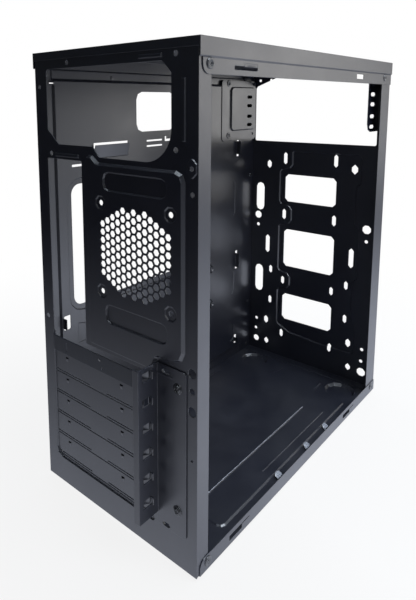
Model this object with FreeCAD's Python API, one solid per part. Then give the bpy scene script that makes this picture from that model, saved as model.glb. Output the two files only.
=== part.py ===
import FreeCAD, Part
import math
import os

# Steel chassis of a computer tower. +Z is up, the rear panel faces +Y, the open side faces -X.
# The origin is at the centre of the base, on the ground. All sizes are in millimetres.

V = FreeCAD.Vector

# Sheet
sheet = 0.7
hem = 0.3
foot_drop = 3.0
depth = 352.0

# Across the rear panel, from the closed side to the open side
tray_recess = 5.0
io_margin = 10.5
io_width = 44.45
io_web = 6.0
fan_margin_in = 18.25
fan_pitch = 71.5
fan_margin_out = 11.65
side_margin = 12.65

# Up the rear panel, from the floor to the top
slot_floor = 25.8
slot_pitch = 20.32
slot_count = 6
io_overlap = 4.72
io_height = 158.75
psu_sill = 12.25
psu_opening_height = 62.0
psu_head = 14.0

# Pressed forms of the rear panel
fan_raise = 2.5
fan_raise_slope = 2.0
raise_above_io = 7.0
raise_step_rise = 5.7
raise_step_from = 7.7
raise_step_to = 14.7
raise_top_rise = 0.5
raise_above_bracket = 4.4
bracket_land = 3.5
bracket_land_front = 1.5
pocket_depth = 1.2
pocket_slope = 0.8
pocket_margin = 1.5
pocket_below = 2.3
pocket_above = 1.0
panel_recess = 1.4
upper_recess_gap = 13.0
upper_recess_height = 15.0
lower_recess_gap = 12.5
lower_recess_height = 16.0
recess_corner = 5.5
press_slope = 1.0
bead_height = 0.8
bead_slope = 0.6

# Holes of the margins: height above the base and radius
near_hole_in = 6.6
near_holes = [(304.4, 1.7), (286.8, 1.7), (159.7, 3.6), (146.4, 2.4), (130.9, 3.6), (93.1, 1.0)]
far_hole_in = 7.5
far_holes = [(361.5, 1.8), (157.6, 2.2)]

# Fan grille
fan_drop = 66.35
fan_hole_r = 2.2
fan_dish_r = 5.6
hex_across = 5.0
hex_pitch = 6.5
hex_columns = 6
grille_half = 32.6
grille_corner = 17.0
grille_taper = 0.78

# Power supply opening and its screws
psu_side_in = 12.0
psu_opening_width = 138.0
psu_chamfer_width = 14.0
psu_chamfer_height = 12.0
psu_step_depth = 8.0
psu_step_in = 57.0
psu_step_slant = 7.0
psu_corner_cut = 8.0
psu_big_radius = 25.0
psu_hole_r = 2.0
psu_hole_margin = 4.0
psu_hole_high = 4.0
psu_hole_spacing_z = 64.0
psu_hole_spacing_x = 114.0
psu_hole_low_spacing = 138.0
psu_hole_low_drop = 10.0

# Slot field
slot_cut = 0.9
slot_divider = 2.2
slot_web_from = 46.0
slot_web_width = 21.0
slot_field_length = 118.5
first_slot_rise = 3.0
cover_thickness = 0.8
cover_gap_low = 0.8
cover_gap_high = 3.6
cover_play = 0.2
cover_end_play = 0.6
cover_end_reach = 6.0
cover_hole_in = 64.6
cover_hole_rise = 131.4
cover_hole_r = 1.2
cover_mark_in = 18.0
cover_mark_width = 1.0
cover_mark_length = 8.0

# Slot bracket
bracket_reach = 21.0
bracket_thickness = 1.0
bracket_lip = 4.5
bracket_wall_low = 36.0
bracket_wall_high = 160.0
bracket_plate_low = 26.6
bracket_plate_high = 158.6
bracket_plate_width = 27.5
bracket_wall_side = 50.5
notch_first = 46.5
notch_height = 7.0
notch_length = 9.0
notch_from_rear = 7.4
notch_tab = 2.2
notch_tab_play = 0.8
bracket_wall_head = 1.4
bracket_plate_corner = 2.0
bracket_slot_in = 9.3
bracket_slot_low = 2.6
bracket_slot_high = 5.0
bracket_slot_length = 8.0
bracket_slot_width = 3.4
bracket_screw_in = 19.0
bracket_screw_low = 47.1
bracket_screw_high = 144.4
bracket_screw_r = 1.6
bracket_screw_play = 0.3
bracket_screw_fit = 0.1
bracket_screw_length = 4.0
screw_head_r = 4.2
screw_head_height = 2.2
screw_head_taper = 1.1
screw_cross_reach = 1.7
screw_cross_half = 0.4
screw_cross_depth = 1.1

# Cap and rails
cap_band = 12.0
cap_skirt = 12.0
cap_step = 1.0
rear_lip = 6.5
base_rail = 12.0
post_rear = 14.4
post_front = 25.0
rail_tab_radius = 7.0
rail_end_gap = 4.0
cap_hook_rear = 53.0
cap_hook_front = 17.0
cap_hook_back = 13.0
cap_hook_step = 0.5
cap_hook_low = 20.0
cap_hook_mid = 17.2
cap_hook_high = 15.2
cap_slot_rear = 264.0
cap_slot_high = 15.4
rail_slot_half = 9.0
rail_slot_tail = 11.0
rail_slot_low = 3.6
rail_slot_mid = 7.0
rail_slot_high = 8.0
rivet_shank_r = 1.5
rivet_head_r = 3.8
rivet_head_height = 0.9
rivet_tail_r = 2.2
rivet_tail_height = 0.8
rivet_play = 0.1
rivet_head_taper = 0.45

# Drive bay
bay_sill = 296.5
bay_head = 9.5
bay_side_in = 1.0
bay_side_out = 12.5
bay_flange_depth = 34.0
bay_flange_low = 314.0
bay_plate_length = 80.0
bay_plate_low = 299.0
bay_plate_raise = 2.0
bay_plate_slope = 1.2
bay_plate_head = 2.0
bay_plate_corner = 3.0
bay_field_front = 3.0
bay_field_rear = 18.0
bay_field_low = 311.6
bay_field_high = 367.0
bay_slot_y = 20.3
bay_slot_length = 12.5
bay_slot_width = 4.2
bay_slot_rows = [318.6, 329.5, 343.2, 354.4]
bay_hole_y = 9.0
bay_hole_r = 1.6
bay_hole_rows = [306.0, 371.5]
bay_corner_web = 34.0
bay_corner_drop = 13.0
flange_slot_y = 21.5
flange_slot_length = 14.0
flange_slot_rows = [319.7, 331.3, 344.5, 355.5]
flange_head = 3.0

# Front panel
front_flange = 12.0
press_depth = 1.5
front_press_slope = 1.2
front_field_left = -62.5
front_field_notch = -57.0
front_field_right = 46.0
front_field_waist = 28.5
front_field_head = 11.5
front_field_low = 35.0
front_hole_r = 1.7

# Tray
tray_edge = 12.0
cpu_rear = 34.0
cpu_length = 167.0
cpu_low = 155.0
cpu_height = 118.0
cpu_rim = 6.0
cpu_rim_depth = 1.2
window_rear = 121.0
window_length = 61.0
window_low = 318.0
window_height = 41.0
window_corner = 8.0
tray_end_gap = 5.0
tray_edge_gap = 4.0
tray_press_slope = 0.6
tray_fields = [(200.0, 247.0), (92.0, 128.0), (25.0, 51.0)]
tray_field_front = 47.0
tray_field_width = 10.0
quarter_rear = 37.0
quarter_low = 117.0
quarter_width = 20.0
quarter_height = 20.5
quarter_r = 19.0
tie_slot_rear = 136.0
tie_slot_length = 25.0
tie_slot_width = 1.8
tie_slot_rows = [308.0, 302.4]
short_slot_rear = 35.0
short_slot_length = 14.5
short_slot_low = 289.4
short_slot_width = 2.2
tie_tab_rear = 165.0
tie_tab_length = 17.0
tie_tab_leg = 3.0
tie_tab_low = 306.0
tie_tab_web = 2.5
tie_tab_high = 311.5
hook_front = 40.0
hook_width = 5.0
hook_reach = 6.0
hook_play = 3.0
hook_rows = [(278.0, 301.0), (126.0, 151.0), (20.0, 32.0)]
io_tab_rear = 20.0
io_tab_opening = 8.0
io_tab_low = 135.0
io_tab_high = 149.0
io_tab_play = 2.0
io_tab_reach = 4.0
louvre_rear = 62.0
louvre_length = 46.0
louvre_low = 295.0
louvre_high = 310.0
louvre_foot = 0.5
louvre_head = 2.2
louvre_lift = 2.8
board_first = 22.5
board_second = 154.94
board_third = 72.39
board_row = 139.5
board_row_drop = 45.72
boss_height = 5.0
boss_r = 6.0
boss_top_r = 3.2
boss_hole_r = 1.5

# Floor
plateau_raise = 1.0
plateau_slope = 1.5
plateau_near = 14.0
plateau_far = 12.0
plateau_front = 29.0
plateau_corner = 57.0
plateau_foot_gap = 8.0
plateau_notch_x = 6.0
plateau_notch_y = 5.0
long_rib_x = -44.0
long_rib_gap = 6.0
long_rib_front = 97.0
low_rib_x = -65.0
low_rib_rear = 132.0
low_rib_front = 91.0
rib_height = 0.8
rib_low_height = 0.4
rib_half_width = 0.9
foot_r = 17.0
foot_side = 60.0
foot_front = 33.0
foot_rear = 25.0
foot_slope = 2.5
tongue_width = 9.0
tongue_reach = 5.2
tongue_rise = 3.6
tongue_corner = 3.5
tongue_from_edge = 7.5
tongue_root = 1.0

# Derived places
width = (tray_recess + io_margin + io_width + io_web + fan_margin_in
         + fan_pitch + fan_margin_out + side_margin)
slot_top = slot_floor + slot_count * slot_pitch
io_low = slot_top - io_overlap
io_high = io_low + io_height
psu_low = io_high + psu_sill
psu_high = psu_low + psu_opening_height
height = psu_high + psu_head
half = width / 2
rear_y = (depth + press_depth - sheet - bracket_reach) / 2
front_y = rear_y - depth
base = foot_drop
top = base + height
rail_x = half - cap_step
post_x = rail_x - sheet
post_inner = post_x - sheet
rear_face = rear_y - sheet
rear_inner = rear_face - sheet
front_face = front_y + sheet
front_inner = front_face + sheet
floor_top = base + sheet
roof = top - sheet
tray_x = half - tray_recess
io_right = tray_x - io_margin
io_left = io_right - io_width
fan_in = io_left - io_web
fan_x = fan_in - fan_margin_in - fan_pitch / 2
fan_z = base + io_high - fan_drop
fan_out = -half + side_margin
fan_level = rear_face + fan_raise
through = 40.0
fine = 0.01
shank_sides = 6
small_sides = 8
foot_sides = 12


# Drawing on a plane across one axis

def at(axis, level, u, v):
    """Point on the plane at a level of the axis, from its two plane values."""
    if axis == "x":
        return V(level, u, v)
    if axis == "y":
        return V(u, level, v)
    return V(u, v, level)


def direction(axis):
    """Unit vector of an axis."""
    return {"x": V(1, 0, 0), "y": V(0, 1, 0), "z": V(0, 0, 1)}[axis]


def corner_steps(r):
    """Flat steps that stand for a pressed or punched corner of this radius."""
    if r < fine:
        return 0
    return 1 if r < 4.5 else 2 if r < 12 else 3 if r < 25 else 8


def corner_points(before, corner, after, steps):
    """Points along the rounding of a corner (u, v, radius)."""
    u, v, r = corner
    if steps == 0:
        return [(u, v)]
    ax, ay = before[0] - u, before[1] - v
    bx, by = after[0] - u, after[1] - v
    la, lb = math.hypot(ax, ay), math.hypot(bx, by)
    ax, ay, bx, by = ax / la, ay / la, bx / lb, by / lb
    turn = math.acos(max(-1.0, min(1.0, ax * bx + ay * by)))
    reach = r / math.tan(turn / 2)
    mx, my = ax + bx, ay + by
    lm = math.hypot(mx, my)
    cx, cy = u + mx / lm * r / math.sin(turn / 2), v + my / lm * r / math.sin(turn / 2)
    start = math.atan2(v + ay * reach - cy, u + ax * reach - cx)
    sweep = math.pi - turn
    if ax * by - ay * bx > 0:
        sweep = -sweep
    return [(cx + r * math.cos(start + sweep * k / steps), cy + r * math.sin(start + sweep * k / steps))
            for k in range(steps + 1)]


def ring_points(corners, steps):
    """Points right round a run of corners, each rounded in its steps."""
    points = []
    for i in range(len(corners)):
        after = corners[(i + 1) % len(corners)]
        points += corner_points(corners[i - 1], corners[i], after, steps[i])
    return points


def outline(axis, level, corners):
    """Closed wire of straight runs through corners (u, v, radius)."""
    points = ring_points(corners, [corner_steps(c[2]) for c in corners])
    kept = [p for i, p in enumerate(points)
            if math.hypot(p[0] - points[i - 1][0], p[1] - points[i - 1][1]) > fine]
    ring = [at(axis, level, u, v) for u, v in kept]
    return Part.makePolygon(ring + ring[:1])


def arc_outline(axis, level, corners):
    """Closed wire through corners (u, v, radius), each rounded by a true arc."""
    edges = []
    rounds = []
    for i in range(len(corners)):
        after = corners[(i + 1) % len(corners)]
        rounds.append(corner_points(corners[i - 1], corners[i], after, 2 if corners[i][2] > fine else 0))
    for i, points in enumerate(rounds):
        if len(points) == 3:
            edges.append(Part.Arc(*[at(axis, level, u, v) for u, v in points]).toShape())
        (u0, v0), (u1, v1) = points[-1], rounds[(i + 1) % len(rounds)][0]
        if math.hypot(u1 - u0, v1 - v0) > fine:
            edges.append(Part.LineSegment(at(axis, level, u0, v0), at(axis, level, u1, v1)).toShape())
    return Part.Wire(edges)


def prism(axis, low, high, corners):
    """Straight block over an outline, between two levels of the axis."""
    face = Part.Face(outline(axis, low, corners))
    return face.extrude(direction(axis) * (high - low))


def arc_prism(axis, low, high, corners):
    """The same block with true arcs at its corners."""
    return Part.Face(arc_outline(axis, low, corners)).extrude(direction(axis) * (high - low))


def regular(u, v, r, sides):
    """Corners of a regular polygon whose sides lie at r from its centre."""
    reach = r / math.cos(math.pi / sides)
    return [(u + reach * math.cos(math.pi * (2 * k + 1) / sides),
             v + reach * math.sin(math.pi * (2 * k + 1) / sides), 0.0) for k in range(sides)]


def small_hole(axis, low, high, u, v, r):
    """Small plain hole along an axis: the smallest have six sides."""
    return prism(axis, low, high, regular(u, v, r, shank_sides if r < 2.0 else small_sides))


def rect(u0, u1, v0, v1, r=0.0):
    """Corners of a rectangle with one corner radius."""
    return [(u0, v0, r), (u1, v0, r), (u1, v1, r), (u0, v1, r)]


def slot(u, v, du, dv):
    """Corners of a round-ended slot about its centre."""
    r = min(du, dv) / 2 - fine
    return rect(u - du / 2, u + du / 2, v - dv / 2, v + dv / 2, r)


def inset(corners, d):
    """Corners moved inwards by d, with radii that keep the walls even."""
    count = len(corners)
    area = sum(corners[i - 1][0] * corners[i][1] - corners[i][0] * corners[i - 1][1]
               for i in range(count))
    way = 1.0 if area > 0 else -1.0
    moved = []
    for i in range(count):
        u0, v0, _ = corners[i - 1]
        u1, v1, r = corners[i]
        u2, v2, _ = corners[(i + 1) % count]
        ax, ay = u1 - u0, v1 - v0
        bx, by = u2 - u1, v2 - v1
        la, lb = math.hypot(ax, ay), math.hypot(bx, by)
        nax, nay = -ay / la * way, ax / la * way
        nbx, nby = -by / lb * way, bx / lb * way
        k = d / (1 + nax * nbx + nay * nby)
        convex = (ax * by - ay * bx) * way > 0
        if r < fine:
            radius = 0.0
        elif convex:
            radius = max(r - d, 0.2)
        else:
            radius = r + d
        moved.append((u1 + (nax + nbx) * k, v1 + (nay + nby) * k, radius))
    return moved


def frustum(axis, level, rise, corners, slope):
    """Pressed form over an outline: it narrows by slope as it rises."""
    steps = [corner_steps(c[2]) for c in corners]
    low = [at(axis, level, u, v) for u, v in ring_points(corners, steps)]
    high = [at(axis, level + rise, u, v) for u, v in ring_points(inset(corners, slope), steps)]
    loops = [low[::-1], high]
    for i in range(len(low)):
        loops.append([low[i - 1], low[i], high[i], high[i - 1]])
    solid = Part.makeSolid(Part.makeShell([Part.Face(Part.makePolygon(loop + loop[:1])) for loop in loops]))
    if solid.Volume < 0:
        solid.reverse()
    return solid


def press(panel, axis, outer, level, rise, corners, slope=press_slope):
    """Press a form into a sheet. outer is +1 or -1, the side on which level is the surface."""
    form = frustum(axis, level, rise * outer, corners, slope)
    back = form.copy()
    back.translate(direction(axis) * (-sheet * outer))
    if rise > 0:
        return panel.fuse(form).cut(back)
    return panel.fuse(back).cut(form)


def disc(axis, low, high, u, v, r):
    """Round bar along an axis."""
    return Part.makeCylinder(r, high - low, at(axis, low, u, v), direction(axis))


def hexagon(u, v, across):
    """Corners of a hexagon that points along u."""
    reach = across / math.sqrt(3)
    return [(u + reach * math.cos(math.radians(60 * k)),
             v + reach * math.sin(math.radians(60 * k)), 0.0) for k in range(6)]


def fold(axis, low, high, path, thickness):
    """Folded strip: a path of points thickened to its left, run along an axis."""
    def offset(i):
        sides = []
        for a, b in ((i - 1, i), (i, i + 1)):
            if a < 0 or b >= len(path):
                continue
            dx, dy = path[b][0] - path[a][0], path[b][1] - path[a][1]
            length = math.hypot(dx, dy)
            sides.append((-dy / length, dx / length))
        if len(sides) == 1:
            sides.append(sides[0])
        (ax, ay), (bx, by) = sides
        k = thickness / (1 + ax * bx + ay * by)
        return (path[i][0] + (ax + bx) * k, path[i][1] + (ay + by) * k)
    outer = [offset(i) for i in range(len(path))]
    ring = [(u, v, 0.0) for u, v in list(path) + outer[::-1]]
    return prism(axis, low, high, ring)


def box(x0, x1, y0, y1, z0, z1):
    """Box between two corners."""
    return Part.makeBox(x1 - x0, y1 - y0, z1 - z0, V(x0, y0, z0))


def joined(shapes):
    """One shape from several that touch."""
    return shapes[0].multiFuse(shapes[1:]).removeSplitter()


def cut_all(shape, tools):
    """Shape less every tool."""
    return shape.cut(Part.makeCompound(tools))


def save(name, shape):
    """Write one piece."""
    if shape.ShapeType == "Compound" and len(shape.Solids) == 1:
        shape = shape.Solids[0].removeSplitter()
    shape.exportStep("parts/" + name + ".step")
    print(name, len(shape.Solids), "solid, valid", shape.isValid(), "volume", round(shape.Volume, 1))


# Places that several pieces share

corner_rivets = {
    "top_rear": (rear_y - 11.8, top - cap_band - 5.0),
    "top_front": (front_y + 19.0, top - cap_band - 5.0),
    "bottom_rear": (rear_y - 13.6, base + 6.8),
    "bottom_front": (front_y + 10.5, base + 6.8),
}
tray_rear_rivets = [base + z for z in (60.0, 330.0)]
tray_front_rivets = [base + z for z in (70.0, 250.0)]
tray_top_rivets = [rear_y - d for d in (90.0, 230.0)]
tray_bottom_rivets = [rear_y - d for d in (90.0, 230.0)]
tray_rear_rivet_y = rear_inner - 7.0
tray_front_rivet_y = front_inner + 8.0
tray_top_rivet_z = top - cap_band - 6.0
tray_bottom_rivet_z = base + 7.5
bay_plate_rivets = [(front_y + 66.0, base + bay_plate_low + 7.0), (front_y + 66.0, top - 19.0)]
tongue_places = [rear_y - d for d in (136.0, 193.0, 236.0)]
rail_slots = [rear_y - d for d in (51.0, 269.0)]
tongue_bend = -half + tongue_from_edge
bracket_screws = [(-half + bracket_screw_in, base + z) for z in (bracket_screw_low, bracket_screw_high)]
bracket_wall_x = -bracket_wall_side
first_cover_low = slot_floor + (slot_count - 1) * slot_pitch + cover_gap_low
first_cover_high = io_low + first_slot_rise - cover_gap_high


def rivet(x_outer, way, y, z, grip):
    """Rivet through a stack along X. way points out of its tapered head."""
    shank = regular(y, z, rivet_shank_r, shank_sides)
    head = regular(y, z, rivet_head_r, small_sides)
    tail = regular(y, z, rivet_tail_r, shank_sides)
    inner = x_outer - way * grip
    return joined([prism("x", inner, x_outer, shank),
                   frustum("x", x_outer, way * rivet_head_height, head, rivet_head_r * rivet_head_taper),
                   prism("x", inner - way * rivet_tail_height, inner, tail)])


def rivet_hole(x0, x1, y, z):
    """Hole for a rivet through the sheets between two levels of X."""
    return small_hole("x", x0, x1, y, z, rivet_shank_r + rivet_play)


# Rear panel: face, posts, pressed fields and cut-outs

def make_rear_panel():
    """Rear panel with posts, pressed forms, openings, grille and holes."""
    face = box(-post_x, post_x, rear_inner, rear_face, floor_top, roof)
    skirt = box(-post_x, post_x, rear_inner, rear_face, base, floor_top)
    near_post = box(-post_x, -post_inner, rear_y - post_rear, rear_face, floor_top, roof)
    far_post = box(post_inner, post_x, rear_y - post_rear, rear_face, floor_top, roof)
    panel = joined([face, skirt, near_post, far_post])
    raised_top = base + io_high
    raised_low = base + io_low + raise_above_io
    bracket_clear = base + bracket_plate_high + raise_above_bracket
    raised = [(fan_in, raised_low, 1.5), (fan_in, raised_top + raise_step_rise, 3.0),
              (fan_in - raise_step_from, raised_top + raise_step_rise, 3.0),
              (fan_in - raise_step_to, raised_top + raise_top_rise, 3.0),
              (fan_out, raised_top + raise_top_rise, 8.0), (fan_out, bracket_clear, 10.0),
              (bracket_wall_x - bracket_land_front, bracket_clear, 2.0),
              (bracket_wall_x + bracket_land, raised_low, 2.0)]
    panel = press(panel, "y", 1, rear_face, fan_raise, raised, fan_raise_slope)
    upper = fan_z + grille_half + upper_recess_gap
    lower = fan_z - grille_half - lower_recess_gap
    for low, high in ((upper, upper + upper_recess_height), (lower - lower_recess_height, lower)):
        field = rect(fan_x - grille_half, fan_x + grille_half, low, high, recess_corner)
        panel = press(panel, "y", 1, fan_level, -panel_recess, field)
    pocket_low = base + slot_floor - pocket_below
    pocket_high = base + io_low + first_slot_rise + pocket_above
    pocket_far, pocket_near = io_right + pocket_margin, bracket_wall_x + bracket_land
    pocket = [(pocket_far, pocket_low, 8.0), (pocket_far, pocket_high, 2.0),
              (pocket_near, pocket_high, 2.0), (pocket_near, pocket_low, 2.0)]
    panel = press(panel, "y", 1, rear_face, -pocket_depth, pocket, pocket_slope)
    beads = [rect(-half + 12.5, -half + 15.5, base + psu_low + 8, base + psu_high - 12),
             rect(fan_x - 27.0, fan_x - 5.0, base + psu_high + 2.2, base + psu_high + 5.2),
             rect(io_left + 3.0, io_right - 11.0, raised_top + 2.0, raised_top + 5.0),
             rect(-half + 2.6, -half + 11.2, raised_top - 4.0, raised_top + 9.5, 3.6)]
    for bead in beads:
        panel = press(panel, "y", 1, rear_face, bead_height, bead, bead_slope)
    tools = []
    for du in (-1, 1):
        for dv in (-1, 1):
            u, v = fan_x + du * fan_pitch / 2, fan_z + dv * fan_pitch / 2
            dish = regular(u, v, fan_dish_r, small_sides)
            panel = press(panel, "y", 1, fan_level, -bead_height, dish)
            tools.append(disc("y", rear_inner - through, fan_level + through, u, v, fan_hole_r))
    low_y, high_y = rear_inner - sheet - fan_raise, fan_level + sheet
    tools.append(prism("y", low_y, high_y, rect(io_left, io_right, base + io_low, base + io_high)))
    tools.append(prism("y", low_y, high_y,
                       rect(io_right - slot_field_length, io_right, base + first_cover_low - cover_gap_low,
                            base + io_low + first_slot_rise)))
    tools += psu_tools(low_y, high_y)
    tools += slot_tools(low_y, high_y)
    tools += grille_tools(low_y, high_y)
    tools += margin_holes(low_y, high_y)
    for x, z in bracket_screws:
        tools.append(small_hole("y", low_y, high_y, x, z, bracket_screw_r))
    for name in ("top_rear", "bottom_rear"):
        y, z = corner_rivets[name]
        tools.append(rivet_hole(-half, -post_inner + sheet, y, z))
        tools.append(rivet_hole(post_inner - sheet, half, y, z))
    for z in tray_rear_rivets:
        tools.append(rivet_hole(post_inner - sheet, half, tray_rear_rivet_y, z))
    return cut_all(panel, tools)


def psu_tools(low_y, high_y):
    """Opening behind the power supply, and its four screw holes."""
    right = tray_x - psu_side_in
    left = right - psu_opening_width
    low, high = base + psu_low, base + psu_high
    step_x = right - psu_step_in
    shape = [(right, high, 3.5), (left + psu_corner_cut, high, 2.5), (left, high - psu_corner_cut, 2.5),
             (left, low - psu_step_depth, psu_big_radius),
             (step_x - psu_step_slant, low - psu_step_depth, 3.0), (step_x, low, 3.0),
             (right - psu_chamfer_width, low, 3.0), (right, low + psu_chamfer_height, 3.0)]
    hole_x = left - psu_hole_margin
    hole_z = high + psu_hole_high
    holes = [(hole_x, hole_z), (hole_x + psu_hole_spacing_x, hole_z),
             (hole_x, hole_z - psu_hole_spacing_z),
             (hole_x + psu_hole_low_spacing, hole_z - psu_hole_spacing_z - psu_hole_low_drop)]
    tools = [arc_prism("y", low_y, high_y, shape)]
    for x, z in holes:
        tools.append(disc("y", low_y, high_y, x, z, psu_hole_r))
    return tools


def slot_tools(low_y, high_y):
    """Cut lines that leave the break-away covers held by their webs."""
    left = io_right - slot_field_length
    web_from = io_right - slot_web_from
    web_to = web_from - slot_web_width
    tools = []
    for i in range(slot_count - 1):
        low = base + slot_floor + i * slot_pitch
        line = low + slot_divider
        tools.append(prism("y", low_y, high_y, rect(left, io_right, low, low + slot_cut)))
        tools.append(prism("y", low_y, high_y, rect(left, web_to, line, line + slot_cut)))
        tools.append(prism("y", low_y, high_y, rect(web_from, io_right, line, line + slot_cut)))
    return tools


def grille_tools(low_y, high_y):
    """Hexagons of the fan grille, in columns, clipped to an eight-sided field."""
    step = hex_pitch * math.sqrt(3) / 2
    tools = []
    for column in range(-hex_columns, hex_columns + 1):
        dx = column * step
        limit = grille_half - grille_taper * max(0.0, abs(dx) - grille_corner)
        shift = hex_pitch / 2 if column % 2 else 0.0
        rows = int(limit / hex_pitch) + 1
        for row in range(-rows, rows + 1):
            dz = row * hex_pitch + shift
            if abs(dz) <= limit:
                tools.append(prism("y", low_y, high_y, hexagon(fan_x + dx, fan_z + dz, hex_across)))
    return tools


def margin_holes(low_y, high_y):
    """Small holes (height, radius) down both margins of the rear panel."""
    near = -half + near_hole_in
    far = half - far_hole_in
    tools = [small_hole("y", low_y, high_y, near, base + z, r) for z, r in near_holes]
    tools += [small_hole("y", low_y, high_y, far, base + z, r) for z, r in far_holes]
    return tools + bracket_slots(low_y, high_y)


def bracket_slots(low_y, high_y):
    """The two hook slots that the bracket's plate and the rear panel share."""
    x = bracket_wall_x - bracket_slot_in
    return [prism("y", low_y, high_y, slot(x, base + z, bracket_slot_length, bracket_slot_width))
            for z in (bracket_plate_low + bracket_slot_low, bracket_plate_high - bracket_slot_high)]


# Top panel: a cap with stepped rails and two lips

def make_top_panel():
    """Cap with two stepped side rails, each rounded at its rear end."""
    skirt_low = top - cap_band - cap_skirt
    step_low = top - cap_band - cap_step
    path = [(post_x, skirt_low), (post_x, step_low), (half - sheet, top - cap_band),
            (half - sheet, roof), (-half + sheet, roof), (-half + sheet, top - cap_band),
            (-post_x, step_low), (-post_x, skirt_low)]
    cap = fold("y", front_y, rear_y, path, -sheet)
    rear = box(-half, half, rear_face, rear_y, top - rear_lip, top)
    front = box(-half, half, front_y, front_face, top - bay_head, top)
    cap = joined([cap, rear, front])
    tools = []
    for side in (-1, 1):
        inner, outer = sorted((side * (post_x - sheet), side * (half + sheet)))
        rear_end = [(rear_y - rail_end_gap, step_low, 0.0), (rear_y + fine * 50, step_low, 0.0),
                    (rear_y + fine * 50, skirt_low - 1, 0.0), (rear_y - rail_end_gap, skirt_low - 1, 0.0)]
        tools.append(prism("x", inner, outer, rear_end))
        for name in ("top_rear", "top_front"):
            y, z = corner_rivets[name]
            tools.append(rivet_hole(inner, outer, y, z))
    inner, outer = -half - sheet, -post_x + sheet
    place = rear_y - cap_hook_rear
    fore, aft, step = place - cap_hook_front, place + cap_hook_back, place + cap_hook_step
    low, mid, high = top - cap_hook_low, top - cap_hook_mid, top - cap_hook_high
    hook = [(fore, low, 0.4), (aft, low, 0.4), (aft, mid, 0.4), (step, mid, 0.4), (step, high, 0.4),
            (fore, high, 0.4)]
    tools.append(prism("x", inner, outer, hook))
    place = rear_y - cap_slot_rear
    tools.append(prism("x", inner, outer, rect(place - rail_slot_half, place + rail_slot_half,
                                               top - cap_hook_low, top - cap_slot_high, 0.6)))
    for y in tray_top_rivets:
        tools.append(rivet_hole(post_inner - sheet, half + sheet, y, tray_top_rivet_z))
    cap = cut_all(cap, tools)
    for side in (-1, 1):
        cap = round_end(cap, side, rear_y - rail_end_gap, skirt_low, rail_tab_radius, 1)
    return cap


def round_end(shape, side, y_end, z_edge, r, up):
    """Round the rear lower or upper corner of a rail."""
    inner, outer = sorted((side * (post_x - sheet), side * (rail_x + fine * 10)))
    block = prism("x", inner, outer, rect(y_end - r, y_end + fine * 10,
                                          min(z_edge - up * fine * 10, z_edge + up * r),
                                          max(z_edge - up * fine * 10, z_edge + up * r)))
    bar = disc("x", inner, outer, y_end - r, z_edge + up * r, r)
    return shape.cut(block.cut(bar))


# Bottom panel: floor, two side rails, four feet and a raised plateau

def make_bottom_panel():
    """Floor with two side rails, feet, plateau, ribs, tongues and hook slots."""
    path = [(-post_x, base + base_rail), (-post_x, floor_top), (post_x, floor_top),
            (post_x, base + base_rail)]
    tray = fold("y", front_y, rear_y, path, -sheet)
    ends = [box(-half, half, rear_face - sheet, rear_y + 1, base - 1, floor_top),
            box(-half, half, front_y - 1, front_inner, base - 1, floor_top),
            box(-half, half, rear_y - rail_end_gap, rear_y + 1, base - 1, base + base_rail + 1),
            box(-half, half, front_y - 1, front_face, base - 1, base + base_rail + 1)]
    tray = cut_all(tray, ends)
    for side in (-1, 1):
        tray = round_end(tray, side, rear_y - rail_end_gap, base + base_rail, rail_tab_radius, -1)
    rear_edge = rear_y - foot_rear - foot_r - plateau_foot_gap
    front_edge = front_y + plateau_front
    near, far = -half + plateau_near, half - plateau_far
    notch_x = -foot_side + foot_r + plateau_notch_x
    notch_y = front_y + foot_front + foot_r + plateau_notch_y
    turn = plateau_corner + 2
    plateau = [(near, rear_edge, 6.0), (near, notch_y, 4.0), (notch_x, notch_y, 5.0),
               (notch_x, front_edge, 6.0), (far - turn, front_edge, 0.0),
               (far - turn, front_edge + turn, plateau_corner), (far, front_edge + turn, 0.0),
               (far, rear_edge, 6.0)]
    tray = press(tray, "z", 1, floor_top, plateau_raise, plateau, plateau_slope)
    level = floor_top + plateau_raise
    ribs = [(long_rib_x, rear_edge - long_rib_gap, front_y + long_rib_front, rib_height),
            (low_rib_x, rear_y - low_rib_rear, front_y + low_rib_front, rib_low_height)]
    for x, y1, y0, rise in ribs:
        rib = rect(x - rib_half_width, x + rib_half_width, y0, y1)
        tray = press(tray, "z", 1, level, rise, rib, rise / 2)
    tray = joined([tray] + [floor_tongue(y) for y in tongue_places])
    for x in (-foot_side, foot_side):
        for y in (front_y + foot_front, rear_y - foot_rear):
            tray = press(tray, "z", -1, base, foot_drop, regular(x, y, foot_r, foot_sides), foot_slope)
    tools = []
    for side in (-1, 1):
        inner, outer = sorted((side * (post_x - sheet), side * half))
        for name in ("bottom_rear", "bottom_front"):
            y, z = corner_rivets[name]
            tools.append(rivet_hole(inner, outer, y, z))
    for y in rail_slots:
        y0, y1 = y - rail_slot_half, y + rail_slot_half
        low, mid, high = base + rail_slot_low, base + rail_slot_mid, base + rail_slot_high
        tools.append(prism("x", -half, -post_x + sheet, rect(y0, y1, low, high)))
        tools.append(prism("x", -half, -post_x + sheet, rect(y0 - rail_slot_tail, y0, mid, high)))
    for y in tray_bottom_rivets:
        tools.append(rivet_hole(post_inner - sheet, half, y, tray_bottom_rivet_z))
    return cut_all(tray, tools)


def floor_tongue(y):
    """Round-ended tongue that rises from the floor, off a bend beside the rail."""
    y0, y1 = y - tongue_width / 2, y + tongue_width / 2
    end = tongue_bend + tongue_reach
    foot = base + sheet / 2
    sloped = fold("y", y0, y1, [(tongue_bend, foot), (end, foot + tongue_rise)], sheet)
    root = tongue_bend - tongue_root
    shape = [(root, y0, 0.0), (end, y0, tongue_corner), (end, y1, tongue_corner), (root, y1, 0.0)]
    return sloped.common(prism("z", base + fine, base + tongue_rise + 2 * sheet, shape))


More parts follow.
